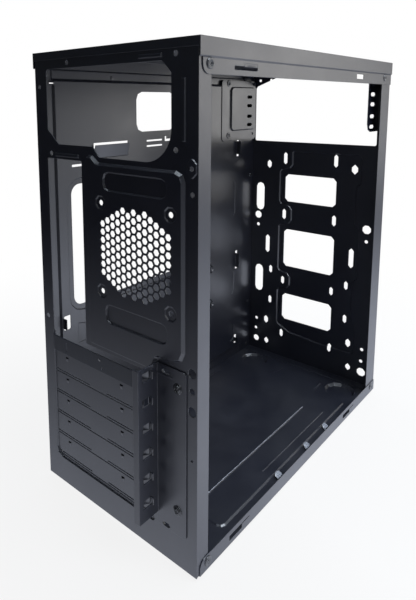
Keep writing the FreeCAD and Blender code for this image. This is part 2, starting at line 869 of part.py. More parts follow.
# Front panel: face, posts, bay opening, windows and slots.
# Windows and slots are (across, height, width, height of the opening), round holes end in a radius.
# Side rows start with the side, and are measured in from it. The field's notches are four heights each.

front_field_notches = [(249.0, 247.0, 199.0, 197.0), (131.0, 129.0, 80.0, 78.0)]
front_field_waists = [(98.0, 101.0, 119.0, 122.0), (187.0, 190.0, 211.0, 214.0)]
front_corner_holes = [(12.0, 13.5), (28.0, 13.2)]
front_windows = [(3.4, 236.0, 69.2, 36.0), (3.4, 155.25, 69.2, 50.5), (3.4, 73.5, 69.2, 36.0)]
front_slots = [(37.9, 275.0, 5.0, 16.0), (-29.6, 275.6, 5.0, 16.0), (37.9, 200.7, 5.0, 14.0),
               (-29.9, 200.9, 5.0, 14.0), (61.4, 266.0, 6.0, 11.0), (-53.2, 267.0, 7.5, 12.0),
               (61.6, 156.6, 6.0, 25.0), (-53.5, 157.4, 6.0, 25.0), (56.0, 121.6, 4.5, 11.0),
               (-48.7, 121.5, 4.5, 11.0), (56.1, 78.3, 4.5, 11.0), (-48.9, 78.2, 4.5, 11.0),
               (37.5, 110.0, 4.5, 11.0), (-30.0, 109.7, 4.5, 11.0), (61.3, 47.7, 6.0, 11.0),
               (-54.5, 47.9, 6.0, 11.0), (37.4, 34.7, 4.5, 11.0), (-30.9, 34.6, 4.5, 11.0),
               (60.1, 17.1, 6.0, 9.0), (-56.3, 17.4, 6.0, 9.0)]
front_side_slots = [(1, 15.8, 221.0, 12.0, 38.0), (1, 16.2, 106.0, 12.0, 38.0)]
front_side_holes = [(1, 13.1, 195.0, 4.7), (1, 13.2, 181.5, 2.2), (1, 13.7, 16.2, 4.0),
                    (1, 13.5, 45.9, 2.0), (1, 12.8, 31.2, 2.0), (-1, 18.7, 196.3, 5.0),
                    (-1, 17.0, 16.1, 5.0), (-1, 18.5, 181.6, 2.0), (-1, 17.3, 45.5, 2.0),
                    (-1, 17.8, 30.2, 2.0)]


def make_front_panel():
    """Front panel with posts, foot, pressed field, windows and bay flange."""
    face = box(-post_x, post_x, front_face, front_inner, floor_top, roof)
    near_post = box(-post_x, -post_inner, front_face, front_y + post_front, floor_top, roof)
    far_post = box(post_inner, post_x, front_face, front_y + post_front, floor_top, roof)
    foot = box(-post_inner, post_inner, front_face, front_inner + front_flange, floor_top, floor_top + sheet)
    panel = joined([face, near_post, far_post, foot])
    line = base + bay_sill - front_field_head
    low = base + front_field_low
    field = [(front_field_waist, line, 2.0), (front_field_left, line, 4.0)]
    for outer_high, inner_high, inner_low, outer_low in front_field_notches:
        field += [(front_field_left, base + outer_high, 3.0), (front_field_notch, base + inner_high, 3.0),
                  (front_field_notch, base + inner_low, 3.0), (front_field_left, base + outer_low, 3.0)]
    field += [(front_field_left, low, 4.0), (-16.0, low, 3.0), (27.0, low + 3.0, 3.0),
              (front_field_right, base + 47, 4.0)]
    for outer_low, inner_low, inner_high, outer_high in front_field_waists:
        field += [(front_field_right, base + outer_low, 4.0), (front_field_waist, base + inner_low, 4.0),
                  (front_field_waist, base + inner_high, 4.0), (front_field_right, base + outer_high, 4.0)]
    field += [(front_field_right, base + 260, 4.0), (front_field_waist, base + 264, 4.0)]
    panel = press(panel, "y", -1, front_face, press_depth, field, front_press_slope)
    low_y, high_y = front_face - press_depth - 1, front_inner + 1
    tools = [prism("y", low_y, high_y, bay_corners())]
    for x, z, dx, dz in front_windows:
        tools.append(prism("y", low_y, high_y, rect(x - dx / 2, x + dx / 2, base + z - dz / 2,
                                                    base + z + dz / 2, 4.0)))
    for x, z, dx, dz in front_slots:
        tools.append(prism("y", low_y, high_y, slot(x, base + z, dx, dz)))
    for side, x, z, dx, dz in front_side_slots:
        tools.append(prism("y", low_y, high_y, slot(side * (half - x), base + z, dx, dz)))
    for side, x, z, r in front_side_holes:
        tools.append(small_hole("y", low_y, high_y, side * (half - x), base + z, r))
    for x, z in front_corner_holes:
        tools.append(small_hole("y", low_y, high_y, half - x, roof - z, front_hole_r))
    for name in ("top_front", "bottom_front"):
        y, z = corner_rivets[name]
        tools.append(rivet_hole(-half, -post_inner + sheet, y, z))
        tools.append(rivet_hole(post_inner - sheet, half, y, z))
    for z in tray_front_rivets:
        tools.append(rivet_hole(post_inner - sheet, half, tray_front_rivet_y, z))
    panel = cut_all(panel, tools)
    edge = -half + bay_side_out
    flange = prism("x", edge - sheet, edge,
                   [(front_face, base + bay_flange_low, 0.0),
                    (front_y + bay_flange_depth, base + bay_flange_low, 9.0),
                    (front_y + bay_flange_depth, roof - bay_head - flange_head, 3.0),
                    (front_face, roof - bay_head - flange_head, 0.0)])
    holes = [prism("x", edge - 3, edge + 3, slot(front_y + flange_slot_y, base + z, flange_slot_length,
                                                 bay_slot_width)) for z in flange_slot_rows]
    return joined([panel, cut_all(flange, holes)])


def bay_corners():
    """Outline of the drive bay opening, with a web across the corner at the tray."""
    left = -half + bay_side_out
    right = tray_x - bay_side_in
    low, high = base + bay_sill, top - bay_head
    return [(left, low, 1.5), (right, low, 1.5), (right, high - bay_corner_drop, 3.0),
            (right - bay_corner_web, high, 3.0), (left, high, 1.5)]


# Motherboard tray: recessed sheet with stepped edges, cut-outs, rims and bosses

def make_tray():
    """Tray with four stepped edges, pressed forms, openings, tabs and bosses."""
    inner_low, inner_high = base + tray_edge + 3.0, top - cap_band - cap_skirt + 1.0
    y0, y1 = front_y + post_front - 1.0, rear_y - post_rear + 1.0
    edge_low, edge_high = floor_top + hem, top - cap_band - cap_step - hem
    step = post_x - sheet - tray_x
    side_step = post_inner - sheet - tray_x
    from_y, to_y = y0 + tray_end_gap, y1 - tray_end_gap
    low_edge = fold("y", y0 + tray_edge_gap, y1 - tray_edge_gap,
                    [(tray_x, inner_low + step), (tray_x, inner_low), (tray_x + step, inner_low - step),
                     (tray_x + step, edge_low)], sheet)
    high_edge = fold("y", y0 + tray_edge_gap, y1 - tray_edge_gap,
                     [(tray_x, inner_high - step), (tray_x, inner_high), (tray_x + step, inner_high + step),
                      (tray_x + step, edge_high)], -sheet)
    rear_edge = fold("z", inner_low + 2, inner_high - 2,
                     [(tray_x, to_y - side_step), (tray_x, to_y), (tray_x + side_step, to_y + side_step),
                      (tray_x + side_step, rear_inner - hem)], -sheet)
    front_edge = fold("z", inner_low + 2, inner_high - 2,
                      [(tray_x, from_y + side_step), (tray_x, from_y),
                       (tray_x + side_step, from_y - side_step),
                       (tray_x + side_step, front_inner + hem)], sheet)
    plate = box(tray_x, tray_x + sheet, from_y, to_y, inner_low, inner_high)
    tray = joined([plate, low_edge, high_edge, rear_edge, front_edge])
    cpu = rect(rear_y - cpu_rear - cpu_length, rear_y - cpu_rear, base + cpu_low,
               base + cpu_low + cpu_height, 10.0)
    tray = press(tray, "x", 1, tray_x + sheet, cpu_rim_depth, inset(cpu, -cpu_rim))
    q0, q1 = rear_y - quarter_rear - quarter_width, rear_y - quarter_rear
    q_low, q_high = base + quarter_low, base + quarter_low + quarter_height
    quarter = [(q0, q_low, 0.0), (q1, q_low, 0.0), (q1, q_high, 0.0), (q0, q_high, quarter_r)]
    tray = press(tray, "x", 1, tray_x + sheet, bead_height, quarter, tray_press_slope)
    field_y = front_y + tray_field_front
    for z0, z1 in tray_fields:
        field = rect(field_y, field_y + tray_field_width, base + z0, base + z1, 4.0)
        tray = press(tray, "x", 1, tray_x + sheet, bead_height, field, tray_press_slope)
    low_x, high_x = tray_x - boss_height - 2, tray_x + cpu_rim_depth + 3
    tools = [arc_prism("x", low_x, high_x, cpu)]
    tools.append(prism("x", low_x, high_x,
                       rect(rear_y - window_rear - window_length, rear_y - window_rear,
                            base + window_low, base + window_low + window_height, window_corner)))
    tools += tray_slots(low_x, high_x)
    for z0, z1 in hook_rows:
        tools.append(prism("x", low_x, high_x, rect(front_y + hook_front, front_y + hook_front + hook_width,
                                                    base + z0, base + z1)))
    y0, y1 = rear_y - louvre_rear - louvre_length, rear_y - louvre_rear
    low, high = base + louvre_low, base + louvre_high
    tools.append(prism("x", low_x, high_x, rect(y0, y1, low, high)))
    tray = cut_all(tray, tools)
    louvre = fold("y", y0, y1, [(tray_x + sheet, low - louvre_foot),
                                (tray_x - louvre_lift, high - louvre_head)], -sheet)
    louvre = louvre.common(box(tray_x - 5, tray_x + sheet, y0, y1, low - 1, high))
    tabs = [louvre]
    for z0, z1 in hook_rows:
        y = front_y + hook_front + hook_width
        tabs.append(box(tray_x - hook_reach, tray_x + sheet, y - sheet, y, base + z0 + hook_play,
                        base + z1 - hook_play))
    y = rear_y - io_tab_rear
    tabs.append(box(tray_x - io_tab_reach, tray_x + sheet, y - sheet, y, base + io_tab_low + io_tab_play,
                    base + io_tab_high - io_tab_play))
    tray = joined([tray] + tabs)
    for y, z in boss_places():
        boss = regular(y, z, boss_r, small_sides)
        tray = press(tray, "x", -1, tray_x, boss_height, boss, boss_r - boss_top_r)
        tray = tray.cut(disc("x", tray_x - boss_height - 1, tray_x + 1, y, z, boss_hole_r))
    holes = [rivet_hole(tray_x + 1, half, tray_rear_rivet_y, z) for z in tray_rear_rivets]
    holes += [rivet_hole(tray_x + 1, half, tray_front_rivet_y, z) for z in tray_front_rivets]
    holes += [rivet_hole(tray_x + 1, half, y, tray_top_rivet_z) for y in tray_top_rivets]
    holes += [rivet_hole(tray_x + 1, half, y, tray_bottom_rivet_z) for y in tray_bottom_rivets]
    holes += [rivet_hole(tray_x - 1, tray_x + 2, y, z) for y, z in bay_plate_rivets]
    return cut_all(tray, holes)


def tray_slots(low_x, high_x):
    """Slots for cable ties, the tie tab's opening and the opening of the tab beside the sockets."""
    def upright(rear, length, z0, z1, r=0.0):
        return prism("x", low_x, high_x, rect(rear_y - rear - length, rear_y - rear, base + z0, base + z1, r))
    slots = [upright(short_slot_rear, short_slot_length, short_slot_low, short_slot_low + short_slot_width),
             upright(io_tab_rear, io_tab_opening, io_tab_low, io_tab_high, 1.0)]
    for z in tie_slot_rows:
        slots.append(upright(tie_slot_rear, tie_slot_length, z - tie_slot_width / 2, z + tie_slot_width / 2))
    y0, y1 = rear_y - tie_tab_rear - tie_tab_length, rear_y - tie_tab_rear
    low, web, high = (base + z for z in (tie_tab_low, tie_tab_low + tie_tab_web, tie_tab_high))
    tie_tab = [(y0, low, 0.0), (y1, low, 0.0), (y1, high, 0.0), (y1 - tie_tab_leg, high, 0.0),
               (y1 - tie_tab_leg, web, 0.0), (y0 + tie_tab_leg, web, 0.0), (y0 + tie_tab_leg, high, 0.0),
               (y0, high, 0.0)]
    return slots + [prism("x", low_x, high_x, tie_tab)]


def boss_places():
    """Standoff places of the tray, clear of its cut-outs."""
    second = rear_y - board_first - board_second
    third = second - board_third
    row = base + board_row
    low_row = row - board_row_drop
    return [(second, row), (third, row), (second, low_row), (third, low_row)]


# Drive bay plate: lies on the tray, raised between its two lines of slots

def make_bay_plate():
    """Plate with a raised field, four slots and its rivet holes."""
    y0, y1 = front_inner + hem, front_y + bay_plate_length
    z0, z1 = base + bay_plate_low, top - cap_band - cap_step - bay_plate_head
    x0 = tray_x - sheet
    low_x, high_x = x0 - bay_plate_raise - 3, tray_x + 2
    plate = prism("x", x0, tray_x, rect(y0, y1, z0, z1, bay_plate_corner))
    field = rect(y0 + bay_field_front, y1 - bay_field_rear, base + bay_field_low, base + bay_field_high, 4.0)
    plate = press(plate, "x", -1, x0, bay_plate_raise, field, bay_plate_slope)
    tools = [prism("x", low_x, high_x, slot(front_y + bay_slot_y, base + z, bay_slot_length, bay_slot_width))
             for z in bay_slot_rows]
    tools += [small_hole("x", low_x, high_x, front_y + bay_hole_y, base + z, bay_hole_r)
              for z in bay_hole_rows]
    tools += [rivet_hole(x0 - 1, tray_x + 2, y, z) for y, z in bay_plate_rivets]
    return cut_all(plate, tools)


# Slot bracket: plate on the rear panel, notched wall and lip

def make_bracket():
    """Bracket with a notched wall, bent tabs and an outer lip."""
    y0 = rear_face
    plate_y = y0 + bracket_thickness
    x_wall = bracket_wall_x
    x_edge = x_wall - bracket_thickness - bracket_plate_width
    z0, z1 = base + bracket_plate_low, base + bracket_plate_high
    w0, w1 = base + bracket_wall_low, base + bracket_wall_high - bracket_wall_head
    plate = prism("y", y0, plate_y, [(x_edge, z0, bracket_plate_corner), (x_wall, z0, 0.0), (x_wall, z1, 0.0),
                                     (x_edge, z1, bracket_plate_corner)])
    wall = box(x_wall - bracket_thickness, x_wall, y0, rear_y + bracket_reach, w0, w1)
    lip = box(x_wall - bracket_thickness, x_wall + bracket_lip, rear_y + bracket_reach - bracket_thickness,
              rear_y + bracket_reach, w0, w1)
    bracket = joined([plate, wall, lip])
    tools = []
    tabs = []
    for i in range(slot_count):
        z = base + notch_first + i * slot_pitch
        a = rear_y + notch_from_rear
        tools.append(box(x_wall - 4, x_wall + 1, a, a + notch_length, z, z + notch_height))
        tabs.append(box(x_wall - bracket_thickness - notch_tab, x_wall, a, a + bracket_thickness,
                        z + notch_tab_play, z + notch_height - notch_tab_play))
    for x, z in bracket_screws:
        tools.append(small_hole("y", y0 - 1, plate_y + 1, x, z, bracket_screw_r + bracket_screw_play))
    tools += bracket_slots(y0 - 1, plate_y + 1)
    return joined([cut_all(bracket, tools)] + tabs)


# First slot cover: loose blade, its end turned out along the bracket's wall

def make_first_cover():
    """Cover blade with a turned-out end, a hole and a cut mark."""
    z0, z1 = base + first_cover_low, base + first_cover_high
    x1 = io_right - cover_end_play
    x0 = bracket_wall_x + hem
    blade_y = rear_face + cover_play
    blade = box(x0, x1, blade_y, blade_y + cover_thickness, z0, z1)
    end = box(x0, x0 + cover_thickness, blade_y, rear_y + notch_from_rear + cover_end_reach, z0, z1)
    cover = joined([blade, end])
    marks = [small_hole("y", blade_y - 1, blade_y + 2, io_right - cover_hole_in, base + cover_hole_rise,
                        cover_hole_r)]
    mark_x, mark_z = io_right - cover_mark_in, (z0 + z1) / 2
    marks.append(box(mark_x - cover_mark_width / 2, mark_x + cover_mark_width / 2, blade_y - 1, blade_y + 2,
                     mark_z - cover_mark_length / 2, mark_z + cover_mark_length / 2))
    return cut_all(cover, marks)


def bracket_screw(x, z):
    """Pan head screw through the bracket into the rear panel."""
    under = rear_face + bracket_thickness
    shank = prism("y", rear_inner - bracket_screw_length, under,
                  regular(x, z, bracket_screw_r - bracket_screw_fit, shank_sides))
    head = frustum("y", under, screw_head_height, regular(x, z, screw_head_r, small_sides), screw_head_taper)
    floor_y, above_y = under + screw_cross_depth, under + screw_head_height + 1
    cross = [box(x - a, x + a, floor_y, above_y, z - b, z + b)
             for a, b in ((screw_cross_reach, screw_cross_half), (screw_cross_half, screw_cross_reach))]
    cross = joined(cross)
    return joined([shank, head]).cut(cross)


os.makedirs("parts", exist_ok=True)

save("rear_panel", make_rear_panel())
save("top_panel", make_top_panel())
save("bottom_panel", make_bottom_panel())
save("front_panel", make_front_panel())
save("motherboard_tray", make_tray())
save("drive_bay_plate", make_bay_plate())
save("slot_bracket", make_bracket())
save("slot_cover_first", make_first_cover())
save("bracket_screw_lower", bracket_screw(*bracket_screws[0]))
save("bracket_screw_upper", bracket_screw(*bracket_screws[1]))

grip = rail_x - post_inner
for name, (y, z) in corner_rivets.items():
    save("rivet_" + name, rivet(-rail_x, -1, y, z, grip))
save("rivets_far_side", Part.makeCompound([rivet(rail_x, 1, y, z, grip) for y, z in corner_rivets.values()]))

post_grip = post_x - (post_inner - sheet)
rail_grip = rail_x - (post_x - sheet)
save("tray_rivets_rear", Part.makeCompound([rivet(post_x, 1, tray_rear_rivet_y, z, post_grip)
                                            for z in tray_rear_rivets]))
save("tray_rivets_front", Part.makeCompound([rivet(post_x, 1, tray_front_rivet_y, z, post_grip)
                                             for z in tray_front_rivets]))
save("tray_rivets_top", Part.makeCompound([rivet(rail_x, 1, y, tray_top_rivet_z, rail_grip)
                                           for y in tray_top_rivets]))
save("tray_rivets_bottom", Part.makeCompound([rivet(rail_x, 1, y, tray_bottom_rivet_z, rail_grip)
                                              for y in tray_bottom_rivets]))
save("bay_plate_rivets", Part.makeCompound([rivet(tray_x - sheet, -1, y, z, 2 * sheet)
                                            for y, z in bay_plate_rivets]))
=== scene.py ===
# %% [markdown]
# The steel chassis of a computer tower, dressed for a picture. The sheet-metal panels come
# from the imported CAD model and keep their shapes. Blender gives them their black powder coat,
# replaces the small fasteners with turned ones, and adds the studio. Blender works in metres.
# Small places are named in millimetres and start from the corners of the CAD boxes. The rear
# panel faces +Y and the open side faces -X.

# %% Load the frame
import math

import bmesh
import bpy
from mathutils import Matrix, Vector
from mathutils.bvhtree import BVHTree


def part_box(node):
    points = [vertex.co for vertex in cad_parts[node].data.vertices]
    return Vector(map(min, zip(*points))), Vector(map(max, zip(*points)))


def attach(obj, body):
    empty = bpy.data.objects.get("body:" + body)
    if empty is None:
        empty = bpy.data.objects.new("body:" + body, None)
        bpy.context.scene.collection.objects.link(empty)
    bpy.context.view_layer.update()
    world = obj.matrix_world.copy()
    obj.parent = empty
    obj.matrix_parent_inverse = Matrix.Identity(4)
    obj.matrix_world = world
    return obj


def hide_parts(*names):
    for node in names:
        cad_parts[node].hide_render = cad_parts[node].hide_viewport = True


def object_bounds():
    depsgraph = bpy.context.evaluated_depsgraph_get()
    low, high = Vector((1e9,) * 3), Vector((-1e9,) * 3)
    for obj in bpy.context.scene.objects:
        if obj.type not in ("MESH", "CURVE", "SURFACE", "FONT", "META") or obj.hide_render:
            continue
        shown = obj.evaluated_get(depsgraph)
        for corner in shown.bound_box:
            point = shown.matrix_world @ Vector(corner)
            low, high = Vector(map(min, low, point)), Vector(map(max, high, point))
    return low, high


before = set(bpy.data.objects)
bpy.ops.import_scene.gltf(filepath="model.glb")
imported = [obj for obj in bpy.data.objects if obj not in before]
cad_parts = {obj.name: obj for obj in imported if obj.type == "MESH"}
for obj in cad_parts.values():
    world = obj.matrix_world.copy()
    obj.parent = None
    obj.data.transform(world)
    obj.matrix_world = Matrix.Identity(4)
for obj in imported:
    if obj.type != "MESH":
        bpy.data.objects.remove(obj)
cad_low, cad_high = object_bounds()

mm = 0.001
print("nodes", sorted(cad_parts))
print("box", [round(v, 4) for v in cad_low], [round(v, 4) for v in cad_high])

# %% [markdown]
# The picture was taken from the rear corner of the open side, a little below the top of the
# case. Its verticals stand upright although the camera looks down, so the lens is shifted. A
# camera could be aimed with a Track To constraint, but a matrix written from its three axes
# also takes the small roll and needs no target object. The place, the three angles and the
# focal length were fitted to the corners of the case.

# %% Camera
frame_wide, frame_high = 416, 600
sensor_mm = 36.0
focal_px = 528.16
centre_px = (158.0, 180.0)
camera_place = (-0.29793, 0.43735, 0.35074)
turn, tilt, roll = (math.radians(a) for a in (-47.9682, -8.3150, -0.3789))
ahead = Vector((math.cos(turn) * math.cos(tilt), math.sin(turn) * math.cos(tilt), math.sin(tilt)))
side = ahead.cross(Vector((0, 0, 1))).normalized()
above = side.cross(ahead)
right = math.cos(roll) * side + math.sin(roll) * above
up = math.cos(roll) * above - math.sin(roll) * side
camera = bpy.data.objects.new("camera", bpy.data.cameras.new("camera"))
bpy.context.scene.collection.objects.link(camera)
stance = Matrix((right, up, -ahead)).transposed().to_4x4()
camera.matrix_world = Matrix.Translation(camera_place) @ stance
lens = camera.data
lens.sensor_width = sensor_mm
lens.lens = sensor_mm * focal_px / frame_high
lens.shift_x = (frame_wide / 2 - centre_px[0]) / frame_high
lens.shift_y = (centre_px[1] - frame_high / 2) / frame_high
lens.clip_start = 0.01
bpy.context.scene.camera = camera
print("lens", round(lens.lens, 2), "shift", round(lens.shift_x, 3), round(lens.shift_y, 3))

# %% [markdown]
# Materials are built from nodes. They could be wired by hand, one line for each link. A helper
# that makes a node, sets its values and wires its inputs in one call keeps each material as
# short as a recipe.

# %% Node helpers
def add(tree, kind, values=(), **settings):
    """Make a node. values maps an input's name or number to a value or to another node's output."""
    node = tree.nodes.new(kind)
    for name, value in settings.items():
        setattr(node, name, value)
    for name, value in dict(values).items():
        if isinstance(value, bpy.types.NodeSocket):
            tree.links.new(value, node.inputs[name])
        else:
            node.inputs[name].default_value = value
    return node


def maths(tree, operation, a, b, clamp=False):
    """The result of one sum on two values."""
    return add(tree, "ShaderNodeMath", {0: a, 1: b}, operation=operation, use_clamp=clamp).outputs[0]


def ramp(tree, value, low, high):
    """Stretch a value's range from low..high to 0..1, clamped."""
    node = add(tree, "ShaderNodeMapRange", {"Value": value, "From Min": low, "From Max": high})
    return node.outputs["Result"]


def object_place(tree):
    """Where a point lies in its object, in metres."""
    return add(tree, "ShaderNodeTexCoord").outputs["Object"]


def noise(tree, place, scale, detail=0.0, roughness=0.5, distortion=0.0):
    """Cloudy noise around one half. scale is the number of clouds in a metre."""
    return add(tree, "ShaderNodeTexNoise", {
        "Vector": place, "Scale": scale, "Detail": detail, "Roughness": roughness,
        "Distortion": distortion}).outputs["Fac"]


# %% [markdown]
# A recipe that many materials share is kept once, as a node group with named sockets. Copies
# of its nodes in every material would work too, but they would have to be changed one by one.

# %% Group and material helpers
def new_group(name, inputs, outputs):
    """An empty shader group with float inputs (name, value) and outputs (name, kind)."""
    group = bpy.data.node_groups.new(name, "ShaderNodeTree")
    for label, value in inputs:
        socket = group.interface.new_socket(label, in_out="INPUT", socket_type="NodeSocketFloat")
        socket.default_value = value
    for label, kind in outputs:
        group.interface.new_socket(label, in_out="OUTPUT", socket_type=kind)
    entry = group.nodes.new("NodeGroupInput")
    leave = group.nodes.new("NodeGroupOutput")
    return group, entry.outputs, leave.inputs


def use_group(tree, group, **values):
    """Place a group. The names of its inputs are written with an underscore for each space."""
    node = add(tree, "ShaderNodeGroup", node_tree=group)
    for name, value in values.items():
        node.inputs[name.replace("_", " ")].default_value = value
    return node.outputs


def new_material(name):
    """A material whose node tree is still empty."""
    material = bpy.data.materials.new(name)
    material.use_nodes = True
    material.node_tree.nodes.clear()
    return material, material.node_tree


def blend_colour(tree, share, a, b):
    """Mix two colours by a share. The Mix node keeps its colour sockets at 6 and 7, and out at 2."""
    node = add(tree, "ShaderNodeMix", data_type="RGBA")
    for socket, value in ((node.inputs[0], share), (node.inputs[6], a), (node.inputs[7], b)):
        if isinstance(value, bpy.types.NodeSocket):
            tree.links.new(value, socket)
        else:
            socket.default_value = value
    return node.outputs[2]


# %% [markdown]
# Powder coat is baked paint. Seen close it has orange peel, a shallow skin of dimples about
# half a millimetre across, and finer grain. An image of a real coat could be tiled over the
# sheets, but it would need a flat layout of each one. Two noise textures of different scale
# make the height here, and a third, much larger, lets the shade wander a little over a panel.
# They are read from object coordinates, real metres, so the grain has one size everywhere.

# %% Powder grain group
def make_powder_grain():
    """Sizes are in millimetres, and one over their metres is the scale of the noise."""
    group, inputs, outputs = new_group(
        "powder_grain", [("Peel Size", 0.6), ("Grain Size", 0.15), ("Grain Share", 0.3)],
        [("Height", "NodeSocketFloat"), ("Mottle", "NodeSocketFloat"), ("Speck", "NodeSocketFloat")])
    place = object_place(group)
    peel = noise(group, place, maths(group, "DIVIDE", 1 / mm, inputs["Peel Size"]), detail=1.0)
    grain = noise(group, place, maths(group, "DIVIDE", 1 / mm, inputs["Grain Size"]))
    wander = noise(group, place, 14.0, detail=3.0, roughness=0.6)
    fine = maths(group, "MULTIPLY", grain, inputs["Grain Share"])
    group.links.new(maths(group, "ADD", peel, fine), outputs["Height"])
    group.links.new(ramp(group, wander, 0.3, 0.7), outputs["Mottle"])
    group.links.new(ramp(group, grain, 0.72, 0.8), outputs["Speck"])
    return group


powder_grain = make_powder_grain()
print("group", powder_grain.name, len(powder_grain.nodes), "nodes")

# %% [markdown]
# Where sheet is folded or cut the coat is thinner, and the paler edge shade laid there is a
# painted highlight of the light that a rounded fold would catch, broken up in patches. The edges
# could be cut round in the mesh, but the CAD shapes are kept. The Bevel node gives the normal that
# a rounded edge would have. Fed to the shader it softens every edge without moving a vertex, and
# compared with the true normal it tells how near an edge is, and so where the painted highlight goes.

# %% Soft edge and painted highlight group
flat_enough, full_edge = 0.01, 0.16


def make_soft_edge_highlight():
    """Edge, the mask of the painted edge highlight, is 0 on a flat face and 1 where the soft normal leans
    33 degrees from the true one.
    """
    group, inputs, outputs = new_group(
        "soft_edge_highlight", [("Radius", 0.0006), ("Break Up", 0.5)],
        [("Edge", "NodeSocketFloat"), ("Normal", "NodeSocketVector")])
    rounded = add(group, "ShaderNodeBevel", {"Radius": inputs["Radius"]}, samples=6).outputs[0]
    true = add(group, "ShaderNodeNewGeometry").outputs["Normal"]
    same = add(group, "ShaderNodeVectorMath", {0: rounded, 1: true}, operation="DOT_PRODUCT")
    near = ramp(group, maths(group, "SUBTRACT", 1.0, same.outputs["Value"]), flat_enough, full_edge)
    patch = noise(group, object_place(group), 320.0, detail=4.0)
    broken = maths(group, "MULTIPLY", ramp(group, patch, 0.42, 0.62), inputs["Break Up"])
    kept = maths(group, "SUBTRACT", 1.0, broken)
    group.links.new(maths(group, "MULTIPLY", near, kept, clamp=True), outputs["Edge"])
    group.links.new(rounded, outputs["Normal"])
    return group


soft_edge_highlight = make_soft_edge_highlight()
print("group", soft_edge_highlight.name, len(soft_edge_highlight.nodes), "nodes")

# %% [markdown]
# Dust settles on what faces up, in drifts. It could be painted on by hand. A mask is made from
# the upward part of the normal instead, times noise, so that it lies right on every panel.
# Separate specks stick to all faces.

# %% Settled dust group
speck_radius, speck_chance = 0.075, 0.14


def make_settled_dust():
    """A speck is the middle of a Voronoi cell, in the few cells whose random red is high."""
    group, inputs, outputs = new_group(
        "settled_dust", [("Amount", 0.3), ("Specks", 0.2)], [("Dust", "NodeSocketFloat")])
    place = object_place(group)
    true = add(group, "ShaderNodeNewGeometry").outputs["Normal"]
    facing = add(group, "ShaderNodeSeparateXYZ", {0: true}).outputs["Z"]
    drift = noise(group, place, 38.0, detail=6.0, roughness=0.65)
    lying = maths(group, "MULTIPLY", ramp(group, facing, 0.4, 1.0), ramp(group, drift, 0.35, 0.75))
    dots = add(group, "ShaderNodeTexVoronoi", {"Vector": place, "Scale": 260.0, "Randomness": 1.0})
    chosen = add(group, "ShaderNodeSeparateColor", {0: dots.outputs["Color"]}).outputs["Red"]
    speck = maths(group, "MULTIPLY", maths(group, "LESS_THAN", dots.outputs["Distance"], speck_radius),
                  maths(group, "GREATER_THAN", chosen, 1.0 - speck_chance))
    total = maths(group, "ADD", maths(group, "MULTIPLY", lying, inputs["Amount"]),
                  maths(group, "MULTIPLY", speck, inputs["Specks"]), clamp=True)
    group.links.new(total, outputs["Dust"])
    return group


settled_dust = make_settled_dust()
print("group", settled_dust.name, len(settled_dust.nodes), "nodes")

# %% [markdown]
# Handled sheet has greasy smudges, which make the coat glossier in cloudy patches, and hair
# scratches from stacking. Scratches could be modelled as grooves, but they are finer than any
# mesh. They are the crests of a noise that is squeezed across and stretched along one way, and
# three such ways cross each other.

# %% Handling marks group
scratch_runs = ((0.5, 900.0), (-1.1, 1300.0), (2.2, 700.0))
along_scale, run_offset = 9.0, 3.1
axis_shares = (1.0, 0.7, 1.3)


def make_handling_marks():
    """Each scratch run is a direction in radians and the number of its lines in a metre."""
    group, inputs, outputs = new_group(
        "handling_marks", [("Smudge", 0.5), ("Scratch", 0.5)],
        [("Gloss", "NodeSocketFloat"), ("Scratches", "NodeSocketFloat")])
    place = object_place(group)
    cloud = noise(group, place, 22.0, detail=5.0, roughness=0.55, distortion=0.8)
    smudges = maths(group, "MULTIPLY", ramp(group, cloud, 0.45, 0.72), inputs["Smudge"])
    group.links.new(smudges, outputs["Gloss"])
    total = None
    for number, (angle, across_scale) in enumerate(scratch_runs):
        stretched = add(group, "ShaderNodeMapping", {
            "Vector": place, "Location": (number * run_offset, 0, 0),
            "Rotation": [angle * share for share in axis_shares],
            "Scale": (across_scale, along_scale, along_scale)})
        thin = ramp(group, noise(group, stretched.outputs[0], 1.0), 0.76, 0.8)
        total = thin if total is None else maths(group, "MAXIMUM", total, thin)
    group.links.new(maths(group, "MULTIPLY", total, inputs["Scratch"]), outputs["Scratches"])
    return group


handling_marks = make_handling_marks()
print("group", handling_marks.name, len(handling_marks.nodes), "nodes")

# %% [markdown]
# The case is powder coated, its screws are plated metal, and bare or pale patches stand for
# highlights. Each finish could be a material of its own making. One recipe serves them all
# instead, with its own colours and amounts: the colour wanders between two near shades, edges get
# a paler shade that is a painted highlight, dust is paler still and dull. The coat mirrors more
# than plain paint, so its index is high.

# %% Coat recipe
dust_colour = (0.28, 0.29, 0.32, 1)
smudge_polish, speck_dulling, dust_dulling, scratch_dulling = 0.12, 0.08, 0.5, 0.1
scratch_depth, bump_strength = 0.6, 0.6


